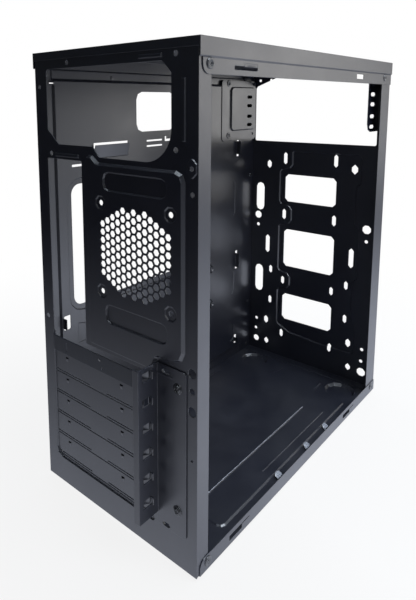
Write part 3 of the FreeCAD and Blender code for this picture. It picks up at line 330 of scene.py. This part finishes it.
def coat(name, dark, light, edge, rough, peel_depth, dust=0.07, specks=0.1, smudge=0.4, scratch=0.25,
         radius=0.0006, metallic=0.0, peel=0.6, gloss=1.0, ior=1.75):
    """A finish. peel_depth and radius are in metres, and peel, the size of a dimple, in millimetres."""
    material, tree = new_material(name)
    grain = use_group(tree, powder_grain, Peel_Size=peel)
    edges = use_group(tree, soft_edge_highlight, Radius=radius)
    dirt = use_group(tree, settled_dust, Amount=dust, Specks=specks)
    marks = use_group(tree, handling_marks, Smudge=smudge, Scratch=scratch)
    colour = blend_colour(tree, grain["Mottle"], dark + (1,), light + (1,))
    # The paler edge shade blended in here is a painted highlight along every fold and cut.
    colour = blend_colour(tree, edges["Edge"], colour, edge + (1,))
    colour = blend_colour(tree, dirt["Dust"], colour, dust_colour)
    polished = maths(tree, "SUBTRACT", rough, maths(tree, "MULTIPLY", marks["Gloss"], smudge_polish))
    grainy = maths(tree, "ADD", polished, maths(tree, "MULTIPLY", grain["Speck"], speck_dulling))
    dusty = maths(tree, "ADD", grainy, maths(tree, "MULTIPLY", dirt["Dust"], dust_dulling))
    scuffs = maths(tree, "MULTIPLY", marks["Scratches"], scratch_dulling)
    scored = maths(tree, "ADD", dusty, scuffs, clamp=True)
    grooves = maths(tree, "MULTIPLY", marks["Scratches"], scratch_depth)
    bump = add(tree, "ShaderNodeBump", {
        "Strength": bump_strength, "Distance": peel_depth, "Normal": edges["Normal"],
        "Height": maths(tree, "SUBTRACT", grain["Height"], grooves)})
    shader = add(tree, "ShaderNodeBsdfPrincipled", {
        "Base Color": colour, "Roughness": scored, "Normal": bump.outputs[0], "Metallic": metallic,
        "Specular IOR Level": gloss, "IOR": ior})
    add(tree, "ShaderNodeOutputMaterial", {"Surface": shader.outputs[0]})
    return material


# %% [markdown]
# The finishes of this case: a blue black coat on the sheets, a flatter one on the loose slot
# cover, black zinc on the screws, greyer paint on the rivets, partly a painted highlight, a flat
# black that is a painted shadow in narrow slits, bare steel that is real on the mandrels and a
# painted glint elsewhere, and a pale colour for painted highlights on the floor tongues and rib.
# They could be told apart by colour alone. Their roughness and edge shade differ too, because
# that is what the eye goes by on black things; the paler edge shade is a painted highlight.

# %% Finishes
chassis_coat = coat("chassis_coat", (0.0062, 0.0078, 0.0185), (0.0092, 0.0112, 0.0245), (0.075, 0.08, 0.1),
                    0.35, 0.00004)
cover_coat = coat("cover_coat", (0.0065, 0.0095, 0.020), (0.009, 0.013, 0.027), (0.04, 0.05, 0.08),
                  0.36, 0.00003, smudge=0.6, gloss=0.75, ior=1.6)
# The near-white edge shade of the screws is a painted glint on their rims and cross.
screw_black = coat("screw_black", (0.020, 0.021, 0.025), (0.036, 0.037, 0.042), (0.70, 0.70, 0.74),
                   0.24, 0.00001, radius=0.0003, metallic=0.3, peel=0.25)
# The rivets' greyer paint is partly their own paint and partly a painted highlight; their paler edge shade
# is a painted highlight.
rivet_coat = coat("rivet_coat", (0.030, 0.031, 0.035), (0.046, 0.047, 0.052), (0.13, 0.13, 0.14),
                  0.30, 0.00002, radius=0.0004, peel=0.4)
# A flat black that stands for the shade inside a narrow slit: a painted shadow.
slit_painted_shadow = coat("slit_painted_shadow", (0.001, 0.001, 0.0015), (0.002, 0.002, 0.003), (0.006, 0.006, 0.008),
                 0.85, 0.00001, dust=0.0, specks=0.0, radius=0.0002, gloss=0.15, ior=1.45)
# Bare steel: real on the rivet mandrels and cut faces; on the notch tabs and the loose cover it is a
# painted highlight and a painted glint.
bare_steel_and_glint = coat("bare_steel_and_glint", (0.30, 0.30, 0.31), (0.42, 0.41, 0.40), (0.55, 0.55, 0.55),
                  0.34, 0.00001, dust=0.05, radius=0.0002, metallic=1.0, peel=0.2)
# A pale colour laid on the floor tongues and the rib's crest as painted highlights.
pale_highlight = coat("pale_highlight", (0.34, 0.36, 0.42), (0.48, 0.50, 0.56), (0.62, 0.64, 0.68),
                 0.42, 0.00001, dust=0.05, radius=0.0003, peel=0.3)
print("materials", [m.name for m in bpy.data.materials])

# %% [markdown]
# The panels are folded and pressed sheet, and the CAD has their true forms. They could be
# modelled again in Blender, but a copy would drift from the part. So their meshes stay, and
# only the material of each node changes to the finish of the real piece.

# %% Dress the CAD nodes
own_finish = {
    "slot_cover_first": cover_coat, "bracket_screw_lower": screw_black, "bracket_screw_upper": screw_black}
for name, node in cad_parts.items():
    node.data.materials.clear()
    node.data.materials.append(rivet_coat if "rivet" in name else own_finish.get(name, chassis_coat))
print("dressed", len(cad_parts), "nodes")

# %% [markdown]
# Round fasteners are turned: a short profile revolved about an axis. A Screw modifier could do
# that from a curve. Rings of bmesh points are used here, because the screw also needs its
# cross pressed in and its thread cut, and both are a change of radius or height per point.

# %% Turning helper
def turned(build, profile, sides, place, axis, form=None, finish=0):
    """Revolve pairs (radius, height), in millimetres, about an axis. form may move each point."""
    stand = Vector((0, 0, 1)).rotation_difference(Vector(axis)).to_matrix()
    rings = []
    for radius, height in profile:
        ring = []
        for step in range(sides if radius > 0 else 1):
            angle = 2 * math.pi * step / sides
            r, h = form(radius, height, angle) if form else (radius, height)
            point = Vector((r * math.cos(angle), r * math.sin(angle), h)) * mm
            ring.append(build.verts.new(Vector(place) + stand @ point))
        rings.append(ring)
    for low, high in zip(rings, rings[1:]):
        for step in range(sides):
            ring_face = [low[step % len(low)], low[(step + 1) % len(low)],
                         high[(step + 1) % len(high)], high[step % len(high)]]
            build.faces.new(list(dict.fromkeys(ring_face))).material_index = finish


# %% [markdown]
# Every piece that Blender adds is fixed to the case. It could be parented by hand. One helper
# makes the mesh, its finishes and its smooth shading, keeps edges sharper than a given angle
# and lets the piece ride on the case.

# %% Piece helper
def make_piece(name, build, coats, crease=32):
    """Turn the built mesh into a piece. crease is in degrees."""
    bmesh.ops.recalc_face_normals(build, faces=build.faces)
    mesh = bpy.data.meshes.new(name)
    build.to_mesh(mesh)
    build.free()
    for finish in coats:
        mesh.materials.append(finish)
    for face in mesh.polygons:
        face.use_smooth = True
    mesh.set_sharp_from_angle(angle=math.radians(crease))
    piece = bpy.data.objects.new(name, mesh)
    bpy.context.scene.collection.objects.link(piece)
    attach(piece, "root")
    return piece


# %% [markdown]
# A node may hold several solids, such as a row of rivets. Their places could be written down
# again, but then they could differ from the CAD. So the node's mesh is welded in a copy and
# walked from point to neighbour, which gives the box of each solid, and every turned fastener
# is put exactly where the CAD has its plain one.

# %% Solids of a node
weld_distance = 1e-6


def solids_of(name):
    """Lowest and highest corner of each solid in a node."""
    build = bmesh.new()
    build.from_mesh(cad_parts[name].data)
    bmesh.ops.remove_doubles(build, verts=build.verts, dist=weld_distance)
    waiting = set(build.verts)
    found = []
    while waiting:
        stack = [waiting.pop()]
        places = []
        while stack:
            vert = stack.pop()
            places.append(vert.co.copy())
            for edge in vert.link_edges:
                other = edge.other_vert(vert)
                if other in waiting:
                    waiting.discard(other)
                    stack.append(other)
        found.append([Vector([pick(c[i] for c in places) for i in range(3)]) for pick in (min, max)])
    build.free()
    return sorted(found, key=lambda corners: tuple(corners[0]))


print("far side rivets", len(solids_of("rivets_far_side")))

# %% [markdown]
# The panels are held by pop rivets. The head is a low dished flange, painted with the case,
# and in its hole sits the broken end of the steel mandrel that pulled it tight. The shank goes
# through both sheets and swells behind them. A ball pressed flat could stand for the head, but
# its dish and hole are what is seen, so the whole profile is turned. The length between head
# and tail comes from the CAD's plain rivet.

# %% Pop rivets
head_height, tail_height = 0.9, 0.8
rivet_sides, mandrel_sides = 24, 12
rivet_head = [(0, -0.6), (0.85, -0.6), (0.9, 0.12), (1.05, 0.3), (1.45, 0.36), (1.95, 0.55), (2.3, 0.8),
              (2.7, 0.9), (3.1, 0.86), (3.5, 0.68), (3.74, 0.4), (3.8, 0.14), (3.7, 0.0), (1.5, 0.0)]
rivet_tail = [(1.5, 0.0), (2.1, -0.1), (2.2, -0.4), (1.95, -0.7), (1.2, -0.8), (0, -0.8)]
mandrel_end = [(0, 0.06), (0.3, 0.12), (0.55, -0.02), (0.72, -0.16), (0.74, -0.55), (0, -0.55)]


def turn_rivets(node, way):
    """One piece with a pop rivet for each solid of a node. way is the side of the head along X."""
    build = bmesh.new()
    for low, high in solids_of(node):
        grip = (high.x - low.x) / mm - head_height - tail_height
        under_head = (high.x - head_height * mm) if way > 0 else (low.x + head_height * mm)
        place = (under_head, (low.y + high.y) / 2, (low.z + high.z) / 2)
        tail = [(r, h - grip) for r, h in rivet_tail]
        turned(build, rivet_head + tail, rivet_sides, place, (way, 0, 0))
        turned(build, mandrel_end, mandrel_sides, place, (way, 0, 0), finish=1)
    piece = make_piece("pop_" + node, build, [rivet_coat, bare_steel_and_glint])
    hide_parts(node)
    return piece


for node in sorted(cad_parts):
    if "rivet" in node:
        outward = -1 if node.startswith(("rivet_", "bay_plate")) else 1
        made = turn_rivets(node, outward)
        print(made.name, len(made.data.polygons), "faces")

# %% [markdown]
# Two pan-head screws with a flange hold the slot bracket. Their cross could be cut with a
# Boolean, which leaves ragged faces on a domed head. It is pressed into the same rings that
# make the head instead: a point inside one of the two arms goes down. The shank's radius
# follows a triangle wave that climbs one pitch per turn, which gives a real thread.

# %% Bracket screws
screw_turns = (("bracket_screw_lower", 0.35), ("bracket_screw_upper", 1.05))
screw_sides = 48
screw_head = [(0, 2.15), (0.2, 2.15), (0.4, 2.15), (0.6, 2.14), (0.8, 2.13), (1.0, 2.1), (1.2, 2.07),
              (1.4, 2.03), (1.6, 1.98), (1.8, 1.92), (2.0, 1.84), (2.3, 1.68), (2.6, 1.42), (2.85, 1.08),
              (2.95, 0.74), (3.1, 0.6), (3.7, 0.5), (4.05, 0.36), (4.2, 0.18), (4.15, 0.0), (1.6, 0.0)]
cad_head_height = 2.2
recess_floor, recess_depth = 1.0, 1.15
arm_half_wide, arm_side_run, arm_half_long, arm_end_run = 0.62, 0.22, 2.1, 0.35
shank_radius, shank_top, shank_step = 1.28, -0.25, 0.1
thread_top, thread_pitch, thread_depth = -0.2, 0.8, 0.22
taper_run, taper_least = 0.8, 0.55


def turn_screw(node, turn):
    """A threaded screw in place of the CAD's plain one. turn is how far its cross is turned."""
    low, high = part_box(node)
    place = ((low.x + high.x) / 2, high.y - cad_head_height * mm, (low.z + high.z) / 2)
    shank_end = (low.y - place[1]) / mm

    def form(radius, height, angle):
        """Press the cross into the head, and cut the thread into the shank."""
        if height > recess_floor:
            across = abs(radius * math.cos(angle + turn))
            along = abs(radius * math.sin(angle + turn))
            narrow, long = min(across, along), max(across, along)
            inside = max(0.0, min(1.0, (arm_half_wide - narrow) / arm_side_run))
            inside *= max(0.0, min(1.0, (arm_half_long - long) / arm_end_run))
            return radius, height - recess_depth * inside
        if height < thread_top and radius > 0:
            wave = abs(((height / thread_pitch - angle / (2 * math.pi)) % 1.0) * 2 - 1)
            taper = min(1.0, (height - shank_end) / taper_run + taper_least)
            return (radius + thread_depth * wave) * taper, height
        return radius, height

    steps = int((shank_top - shank_end) / shank_step)
    shank = [(shank_radius, shank_top - shank_step * k) for k in range(steps)]
    shank += [(shank_radius, shank_end), (0, shank_end)]
    build = bmesh.new()
    turned(build, screw_head + shank, screw_sides, place, (0, 1, 0), form)
    piece = make_piece("threaded_" + node, build, [screw_black], crease=40)
    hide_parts(node)
    return piece


for node, turn in screw_turns:
    made = turn_screw(node, turn)
    print(made.name, len(made.data.polygons), "faces")

# %% [markdown]
# Small marks lie on sheet that is pressed and sloped. Their heights could be worked out from
# the drawing. A ray is cast on the CAD mesh instead, and where it lands is the real surface.

# %% Point on a surface
beyond_rear = 0.3
cover_low, cover_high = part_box("slot_cover_first")


def surface_point(node, start, heading):
    """Where a ray meets a node, in metres."""
    tree = BVHTree.FromObject(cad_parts[node], bpy.context.evaluated_depsgraph_get())
    return tree.ray_cast(Vector(start), Vector(heading))[0]


cover_middle_z = (cover_low.z + cover_high.z) / 2
cover_face = surface_point("slot_cover_first", (0, beyond_rear, cover_middle_z), (0, -1, 0))
print("outer face of the loose cover at y", round(cover_face.y, 4))

# %% [markdown]
# A lance is a tongue of metal that a press tool has cut on three sides and lifted. It could be
# sculpted. A small grid whose rows rise towards the cut, closed by a back a little below the
# sheet, gives it a flush foot, a domed middle and a sharp cut face, all from three sizes.

# %% Lance helper
lance_columns, lance_rows = 8, 5
lance_skins = ((1.0, 0.0), (0.75, 0.12))
dome_power, rise_power = 0.6, 1.3


def lance(build, place, along, up, out, wide, high, lift, finish=0):
    """A pressed tongue, sized in millimetres. Each skin has a share of the lift and a depth below it."""
    along, up, out = Vector(along) * mm, Vector(up) * mm, Vector(out) * mm
    skins = []
    for share, sink in lance_skins:
        grid = []
        for j in range(lance_rows + 1):
            v = j / lance_rows
            line = []
            for i in range(lance_columns + 1):
                u = i / lance_columns
                rise = lift * math.sin(math.pi * u) ** dome_power * v ** rise_power * share - sink
                spot = Vector(place) + along * ((u - 0.5) * wide) + up * (v * high) + out * rise
                line.append(build.verts.new(spot))
            grid.append(line)
        skins.append(grid)
    front, back = skins
    for j in range(lance_rows):
        for i in range(lance_columns):
            build.faces.new((front[j][i], front[j][i + 1], front[j + 1][i + 1], front[j + 1][i]))
            build.faces.new((back[j][i], back[j + 1][i], back[j + 1][i + 1], back[j][i + 1]))
    rim = [(0, i) for i in range(lance_columns)] + [(j, lance_columns) for j in range(lance_rows)]
    rim += [(lance_rows, lance_columns - i) for i in range(lance_columns)]
    rim += [(lance_rows - j, 0) for j in range(lance_rows)]
    for (row, column), (next_row, next_column) in zip(rim, rim[1:] + rim[:1]):
        edge_face = build.faces.new((front[row][column], back[row][column],
                                     back[next_row][next_column], front[next_row][next_column]))
        edge_face.material_index = finish if row == next_row == lance_rows else 0


# %% [markdown]
# Bars and plates of a few tenths of a millimetre stand for tabs, ridges and worn skins. Cubes
# with a Bevel modifier would do for the bars. All are built as small blocks here, rounded by
# the same operator and joined into one mesh per kind, so that no modifier is left to apply.

# %% Block helpers
edge_steps, edge_profile = 2, 0.6


def lay(build, block, stand, finish):
    """Add a block that was drawn in millimetres to a mesh, at the place and turn of a matrix."""
    bmesh.ops.transform(block, matrix=Matrix.Scale(mm, 4) @ stand, verts=block.verts)
    made = {v: build.verts.new(v.co) for v in block.verts}
    for face in block.faces:
        build.faces.new([made[v] for v in face.verts]).material_index = finish
    block.free()


def soften(block, edges, round_off):
    """Round off edges of a block."""
    bmesh.ops.bevel(block, geom=edges, offset=round_off, segments=edge_steps, affect="EDGES",
                    profile=edge_profile)


def bar(build, low, high, round_off, finish=0, stand=Matrix()):
    """A small block with all its edges rounded off, from its two corners."""
    size = [b - a for a, b in zip(low, high)]
    centre = [(a + b) / 2 for a, b in zip(low, high)]
    shape = Matrix.Translation(centre) @ Matrix.Diagonal(size + [1.0])
    block = bmesh.new()
    bmesh.ops.create_cube(block, size=1.0, matrix=shape)
    soften(block, block.edges[:], round_off)
    lay(build, block, stand, finish)


def plate(build, outline, thick, round_off, stand):
    """A thin plate from an outline of points (u, v). Only the rim of its upper face is rounded."""
    block = bmesh.new()
    face = block.faces.new([block.verts.new((u, v, 0.0)) for u, v in outline])
    raised = bmesh.ops.extrude_face_region(block, geom=[face])
    moved = [item for item in raised["geom"] if isinstance(item, bmesh.types.BMVert)]
    bmesh.ops.translate(block, vec=(0, 0, thick), verts=moved)
    rim = [edge for edge in block.edges if all(v.co.z > thick / 2 for v in edge.verts)]
    soften(block, rim, round_off)
    lay(build, block, stand, 0)


# %% [markdown]
# Each of the five break-away covers carries two small lances where the press tool gripped it.
# The slit above each cut, and the cut face itself, are a flat black: a painted shadow of the
# opening. The lances could be drawn in a bump map. As real metal they also catch the light from
# the side. The covers lie whole slot pitches below the loose one.

# %% Lances on the break-away covers
slot_pitch, cover_count = 20.32, 5
mark_x = (cover_high.x / mm - 15.4, cover_low.x / mm + 39.7)
mark_z = cover_low.z / mm + 12.5
mark_wide, mark_high, mark_lift = 3.4, 3.0, 0.8
slit_below, slit_above, slit_sunk, slit_proud, slit_round = 0.1, 1.0, 0.1, 0.05, 0.04

build = bmesh.new()
for row in range(cover_count):
    z = mark_z + (row - cover_count) * slot_pitch
    for x in mark_x:
        spot = surface_point("rear_panel", (x * mm, beyond_rear, z * mm), (0, -1, 0))
        lance(build, spot, (1, 0, 0), (0, 0, 1), (0, 1, 0), mark_wide, mark_high, mark_lift, finish=1)
        cut_x, cut_y, cut_z = (c / mm for c in spot)
        cut_z += mark_high
        # The slit is a thin flat black bar, a painted shadow of the opening above the cut.
        bar(build, (cut_x - mark_wide / 2, cut_y - slit_sunk, cut_z - slit_below),
            (cut_x + mark_wide / 2, cut_y + slit_proud, cut_z + slit_above), slit_round, finish=1)
lances = make_piece("cover_lances", build, [chassis_coat, slit_painted_shadow], crease=30)
print("lances on y", [round(v.co.y / mm, 2) for v in lances.data.vertices[:3]])

# %% [markdown]
# The notches of the bracket's wall are punched, and the tab that is left in each one is bent
# inwards. Its end catches the light, and a strip of bare steel there is a painted highlight. The
# wall could be cut again with its tabs, but the CAD shapes are kept. Each bent tab is a thin bar
# that leans inwards from the wall, with that brighter strip on its end. A second such strip lies
# on the end of the CAD's short tab.

# %% Notch tabs
bracket_low, bracket_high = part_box("slot_bracket")
notch_count = 6
wall_x, tab_y, notch_z = bracket_high.x / mm - 4.5, bracket_low.y / mm + 8.1, bracket_low.z / mm + 19.9
tab_half, tab_reach, tab_foot, tab_head, tab_round = 0.3, 7.6, 0.4, 6.4, 0.14
tab_lean = Matrix.Rotation(math.radians(-34), 4, "Z")
hinge = Matrix.Translation((wall_x + 0.2, tab_y + 0.9, 0)) @ tab_lean
strip_half, strip_margin = 0.1, 0.1
strip_proud, strip_round = 0.04, 0.08
short_reach, short_near, short_far, short_foot, short_head = 3.18, 0.05, 0.95, 0.9, 6.1

build = bmesh.new()
for row in range(notch_count):
    z = notch_z + row * slot_pitch
    # The bright bare steel strips on the tab ends are painted highlights.
    bar(build, (wall_x - short_reach - strip_half, tab_y + short_near, z + short_foot),
        (wall_x - short_reach + strip_half, tab_y + short_far, z + short_head), strip_round, finish=1)
    bar(build, (-tab_half, 0.0, z + tab_foot), (tab_half, tab_reach, z + tab_head), tab_round, stand=hinge)
    bar(build, (-tab_half - strip_proud, tab_reach - strip_half, z + tab_foot + strip_margin),
        (tab_half + strip_proud, tab_reach + strip_half, z + tab_head - strip_margin),
        strip_round, finish=1, stand=hinge)
tabs = make_piece("notch_tabs", build, [chassis_coat, bare_steel_and_glint])
print(tabs.name, "inside the bracket", bracket_low.y / mm < tab_y < bracket_high.y / mm)

# %% [markdown]
# The side panel hooks onto three tongues beside the low rail. Each tongue gets a pale skin of
# its own round-ended outline, laid on the CAD's slope: a painted highlight of the lit tongue. A
# filled curve with a bevel would give such a plate too. A polygon that is extruded and bevelled
# keeps its corners exactly where the outline has them.

# %% Painted highlights on the floor tongues
top_low, top_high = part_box("top_panel")
front_y, open_x = top_low.y / mm, top_low.x / mm
tongue_places = (216.0, 159.0, 116.0)
tongue_foot, tongue_rise = 8.4, 11.4
skin_long, skin_wide, skin_corner, skin_thick, skin_round = 5.2, 8.6, 3.3, 0.1, 0.05
above_floor = 0.012


def floor_point(x, y):
    """The floor's upper surface at a place in millimetres."""
    return surface_point("bottom_panel", (x * mm, y * mm, above_floor), (0, 0, -1)) / mm


def round_end_outline(length, width, radius, steps=5):
    """A D shape: straight at its foot, its two far corners rounded."""
    points = [(0.0, -width / 2)]
    for corner, start in ((-1, -90), (1, 0)):
        for k in range(steps + 1):
            angle = math.radians(start + 90 * k / steps)
            points.append((length - radius + radius * math.cos(angle),
                           corner * (width / 2 - radius) + radius * math.sin(angle)))
    return points + [(0.0, width / 2)]


build = bmesh.new()
for from_front in tongue_places:
    foot = floor_point(open_x + tongue_foot, front_y + from_front)
    rise = floor_point(open_x + tongue_rise, front_y + from_front)
    slope = math.atan2(rise.z - foot.z, rise.x - foot.x)
    stand = Matrix.Translation(foot) @ Matrix.Rotation(-slope, 4, "Y")
    plate(build, round_end_outline(skin_long, skin_wide, skin_corner), skin_thick, skin_round, stand)
    print("tongue", from_front, "mm from the front rises", round(math.degrees(slope), 1), "degrees")
# Each pale skin is a painted highlight.
skins = make_piece("tongue_highlights", build, [pale_highlight])
print("tongue skins", len(skins.data.polygons), "faces")

# %% [markdown]
# A long rib stiffens the floor, and its crest catches the light as a bright line. A pale line
# could be drawn there by the material. A narrow pale strip follows the rib exactly as a painted
# highlight, and shows its thickness in a low light.

# %% Painted highlight on the floor rib
rib_x, rib_from, rib_to = open_x + 46.0, front_y + 97.5, front_y + 295.5
crest_half, crest_thick, crest_round = 0.4, 0.08, 0.03
crest = floor_point(rib_x, 0.0)
outline = [(rib_x - crest_half, rib_from), (rib_x + crest_half, rib_from),
           (rib_x + crest_half, rib_to), (rib_x - crest_half, rib_to)]
build = bmesh.new()
plate(build, outline, crest_thick, crest_round, Matrix.Translation((0, 0, crest.z)))
crest_skin = make_piece("rib_crest_highlight", build, [pale_highlight])
print("rib crest at", round(crest.z, 2), "mm,", len(crest_skin.data.polygons), "faces")

# %% [markdown]
# A low ridge is pressed into the bracket's plate over the upper screw. It could be left to a
# bump map, but it catches the light along its whole length, so it is a rounded bar.

# %% Ridge on the bracket
ridge_low = (wall_x - 15.6, bracket_low.y / mm + 0.9, bracket_high.z / mm - 8.7)
ridge_high = (wall_x - 1.4, bracket_low.y / mm + 1.35, bracket_high.z / mm - 7.3)
ridge_round = 0.2
build = bmesh.new()
bar(build, ridge_low, ridge_high, ridge_round)
ridge = make_piece("bracket_ridge", build, [chassis_coat])
print(ridge.name, [round(v / mm, 2) for v in ridge.dimensions])

# %% [markdown]
# In the hook opening of the top rail a tongue of the sheet is bent back. A plain box would
# show a square end. It is shaped like the press marks, so the lance helper makes it too.

# %% Tongue in the top rail
bend_place = (top_low.x + 1.1 * mm, top_high.y - 61.2 * mm, top_low.z + 8.85 * mm)
build = bmesh.new()
lance(build, bend_place, along=(0, 1, 0), up=(0, 0, -1), out=(1, 0, 0),
      wide=17.2, high=2.5, lift=0.9, finish=1)
rail_tongue = make_piece("rail_tongue", build, [chassis_coat, bare_steel_and_glint])
print(rail_tongue.name, [round(v / mm, 2) for v in rail_tongue.dimensions])

# %% [markdown]
# The loose cover shows a bright dot, and a very small slanted lance of bare steel is put there
# as a painted glint. A spot of colour could mark it. The lance has a raised edge as well, and
# that is what glints.

# %% Glint on the loose cover
glint_x, glint_z = cover_high.x - 60.4 * mm, cover_middle_z + 2 * mm
glint_place = surface_point("slot_cover_first", (glint_x, beyond_rear, glint_z), (0, -1, 0))
build = bmesh.new()
lance(build, glint_place, along=(0.94, 0, 0.34), up=(-0.34, 0, 0.94), out=(0, 1, 0),
      wide=2.6, high=1.5, lift=0.5)
glint_mark = make_piece("cover_glint", build, [bare_steel_and_glint])
print(glint_mark.name, [round(v / mm, 2) for v in glint_mark.dimensions])

# %% [markdown]
# The case stands on white paper that has no horizon. A curved backdrop could do that. This
# floor is flat, and three things are mixed in its material: paper that takes the case's shadow
# near its foot and whose colour is a painted shade, near black, behind the case; plain white
# that takes over with distance for the camera; and a painted reflection, a pale glow that only
# glossy rays find, bright beside the open side and dark behind the case, which gives black paint its
# shading.

# %% Floor paper
paper_dark, paper_light = (0.86, 0.86, 0.865, 1), (0.89, 0.89, 0.895, 1)
# The paper's near-black colour behind the case is a painted shade.
paper_painted_shade = (0.05, 0.05, 0.055, 1)
glow_open, glow_behind = (0.82, 0.87, 1.0, 1), (0.03, 0.03, 0.038, 1)
rear_way = (0.3, 0.95, 0)
behind_distance, behind_power = 1.1, 3.2
glow_strength, glow_loss, glow_near, glow_far = 1.14, 0.75, 0.4, 1.1


def floor_paper():
    """Paper that shows one thing to the camera, one to glossy rays and one to all other light."""
    material, tree = new_material("floor_paper")
    place = object_place(tree)
    away = add(tree, "ShaderNodeVectorMath", {0: place}, operation="LENGTH").outputs["Value"]
    behind = add(tree, "ShaderNodeVectorMath", {0: place, 1: rear_way}, operation="DOT_PRODUCT")
    open_part = maths(tree, "SUBTRACT", 1.0, ramp(tree, behind.outputs["Value"], 0.0, behind_distance))
    shade = maths(tree, "SUBTRACT", 1.0, maths(tree, "POWER", open_part, behind_power))
    colour = blend_colour(tree, noise(tree, place, 600.0, detail=3.0), paper_dark, paper_light)
    colour = blend_colour(tree, shade, colour, paper_painted_shade)
    paper = add(tree, "ShaderNodeBsdfPrincipled", {
        "Base Color": colour, "Roughness": 0.8, "Specular IOR Level": 0.2})
    white = add(tree, "ShaderNodeEmission", {"Color": (1, 1, 1, 1), "Strength": 1.0})
    rays = add(tree, "ShaderNodeLightPath").outputs
    clear = add(tree, "ShaderNodeMapRange", {
        "Value": away, "From Min": 0.08, "From Max": 0.75, "To Min": 0.85, "To Max": 1.0},
        interpolation_type="SMOOTHSTEP").outputs["Result"]
    fade = maths(tree, "MULTIPLY", rays["Is Camera Ray"], clear)
    seen = add(tree, "ShaderNodeMixShader", {0: fade, 1: paper.outputs[0], 2: white.outputs[0]})
    # What glossy rays see is a painted reflection: a glow that fades with distance and is dark behind the
    # case.
    loss = maths(tree, "MULTIPLY", ramp(tree, away, glow_near, glow_far), glow_loss)
    mirrored = add(tree, "ShaderNodeEmission", {
        "Color": blend_colour(tree, shade, glow_open, glow_behind),
        "Strength": maths(tree, "SUBTRACT", glow_strength, loss)})
    shown = add(tree, "ShaderNodeMixShader", {
        0: rays["Is Glossy Ray"], 1: seen.outputs[0], 2: mirrored.outputs[0]})
    add(tree, "ShaderNodeOutputMaterial", {"Surface": shown.outputs[0]})
    return material


# %% [markdown]
# The sheet of paper itself is twelve metres wide, so that its rim stays far outside every
# view. A plane would be enough.

# %% Floor
floor_half, floor_squares = 6.0, 12
build = bmesh.new()
bmesh.ops.create_grid(build, x_segments=floor_squares, y_segments=floor_squares, size=floor_half)
mesh = bpy.data.meshes.new("studio_floor")
build.to_mesh(mesh)
build.free()
mesh.materials.append(floor_paper())
floor = bpy.data.objects.new("studio_floor", mesh)
bpy.context.scene.collection.objects.link(floor)
print("floor", [round(v, 2) for v in floor.dimensions])

# %% [markdown]
# Round the case is a white surround that only the camera sees. A white room would do as well,
# but it would light the case from all sides and turn its black to grey. So other rays meet a
# dim blue surround, which is a little brighter towards the open front corner.

# %% Surround
brighter_way = (-0.5, -0.85, 0.1)
world = bpy.data.worlds.new("studio")
bpy.context.scene.world = world
world.use_nodes = True
tree = world.node_tree
tree.nodes.clear()
rays = add(tree, "ShaderNodeLightPath").outputs
seen = maths(tree, "MAXIMUM", rays["Is Camera Ray"], rays["Is Transmission Ray"])
outward = add(tree, "ShaderNodeTexCoord").outputs["Generated"]
facing = add(tree, "ShaderNodeVectorMath", {0: outward, 1: brighter_way}, operation="DOT_PRODUCT")
glow = add(tree, "ShaderNodeMapRange", {
    "Value": facing.outputs["Value"], "From Min": 0.0, "From Max": 0.95, "To Min": 0.035, "To Max": 0.18})
dim = add(tree, "ShaderNodeBackground", {"Color": (0.86, 0.92, 1.0, 1), "Strength": glow.outputs["Result"]})
white = add(tree, "ShaderNodeBackground", {"Color": (1, 1, 1, 1), "Strength": 1.0})
both = add(tree, "ShaderNodeMixShader", {0: seen, 1: dim.outputs[0], 2: white.outputs[0]})
add(tree, "ShaderNodeOutputWorld", {"Surface": both.outputs[0]})
bpy.context.scene.view_settings.view_transform = "Standard"
print("surround", world.name, len(tree.nodes), "nodes")

# %% [markdown]
# The light of the photo is soft. A sun or a spot would give hard edges, so every lamp is a
# wide area lamp. The key stands off the open front corner, where the posts and rails of the
# open side mirror it while the rear panel stays dark. One lamp hangs above, a smaller one
# shines through the open side on the floor of the case, and two weak ones fill the rear and
# the far side.

# %% Lamps
middle = (cad_low + cad_high) / 2
inner_floor = (-0.04, 0.0, 0.0)
warm_white, cool_white = (0.99, 0.97, 0.94), (0.93, 0.96, 1.0)
sky_blue, pale_blue = (0.80, 0.90, 1.0), (0.82, 0.90, 1.0)
lamp_rows = (
    ("key_open_side", (-1.28, -1.82, 0.62), middle, (1.0, 1.2), 6.8, warm_white),
    ("top_fill", (-0.1, -0.22, 2.2), middle, (1.8, 1.8), 32.0, sky_blue),
    ("floor_soft", (-1.0, -0.05, 1.6), inner_floor, (0.7, 0.9), 15.0, pale_blue),
    ("rear_soft", (-0.8, 2.0, 1.0), middle, (1.2, 1.2), 3.0, cool_white),
    ("far_side_soft", (2.0, -0.5, 0.9), middle, (1.2, 1.2), 9.0, cool_white))


def soft_lamp(name, place, target, size, power, colour):
    """An area lamp at a place in metres, aimed at a target, with its power in watts."""
    data = bpy.data.lights.new(name, "AREA")
    data.shape = "RECTANGLE"
    data.size, data.size_y = size
    data.energy = power
    data.color = colour
    lamp = bpy.data.objects.new(name, data)
    lamp.location = place
    lamp.rotation_mode = "QUATERNION"
    lamp.rotation_quaternion = (Vector(target) - Vector(place)).to_track_quat("-Z", "Y")
    bpy.context.scene.collection.objects.link(lamp)
    return lamp


for row in lamp_rows:
    made = soft_lamp(*row)
    print("lamp", made.name, made.data.energy, "W")
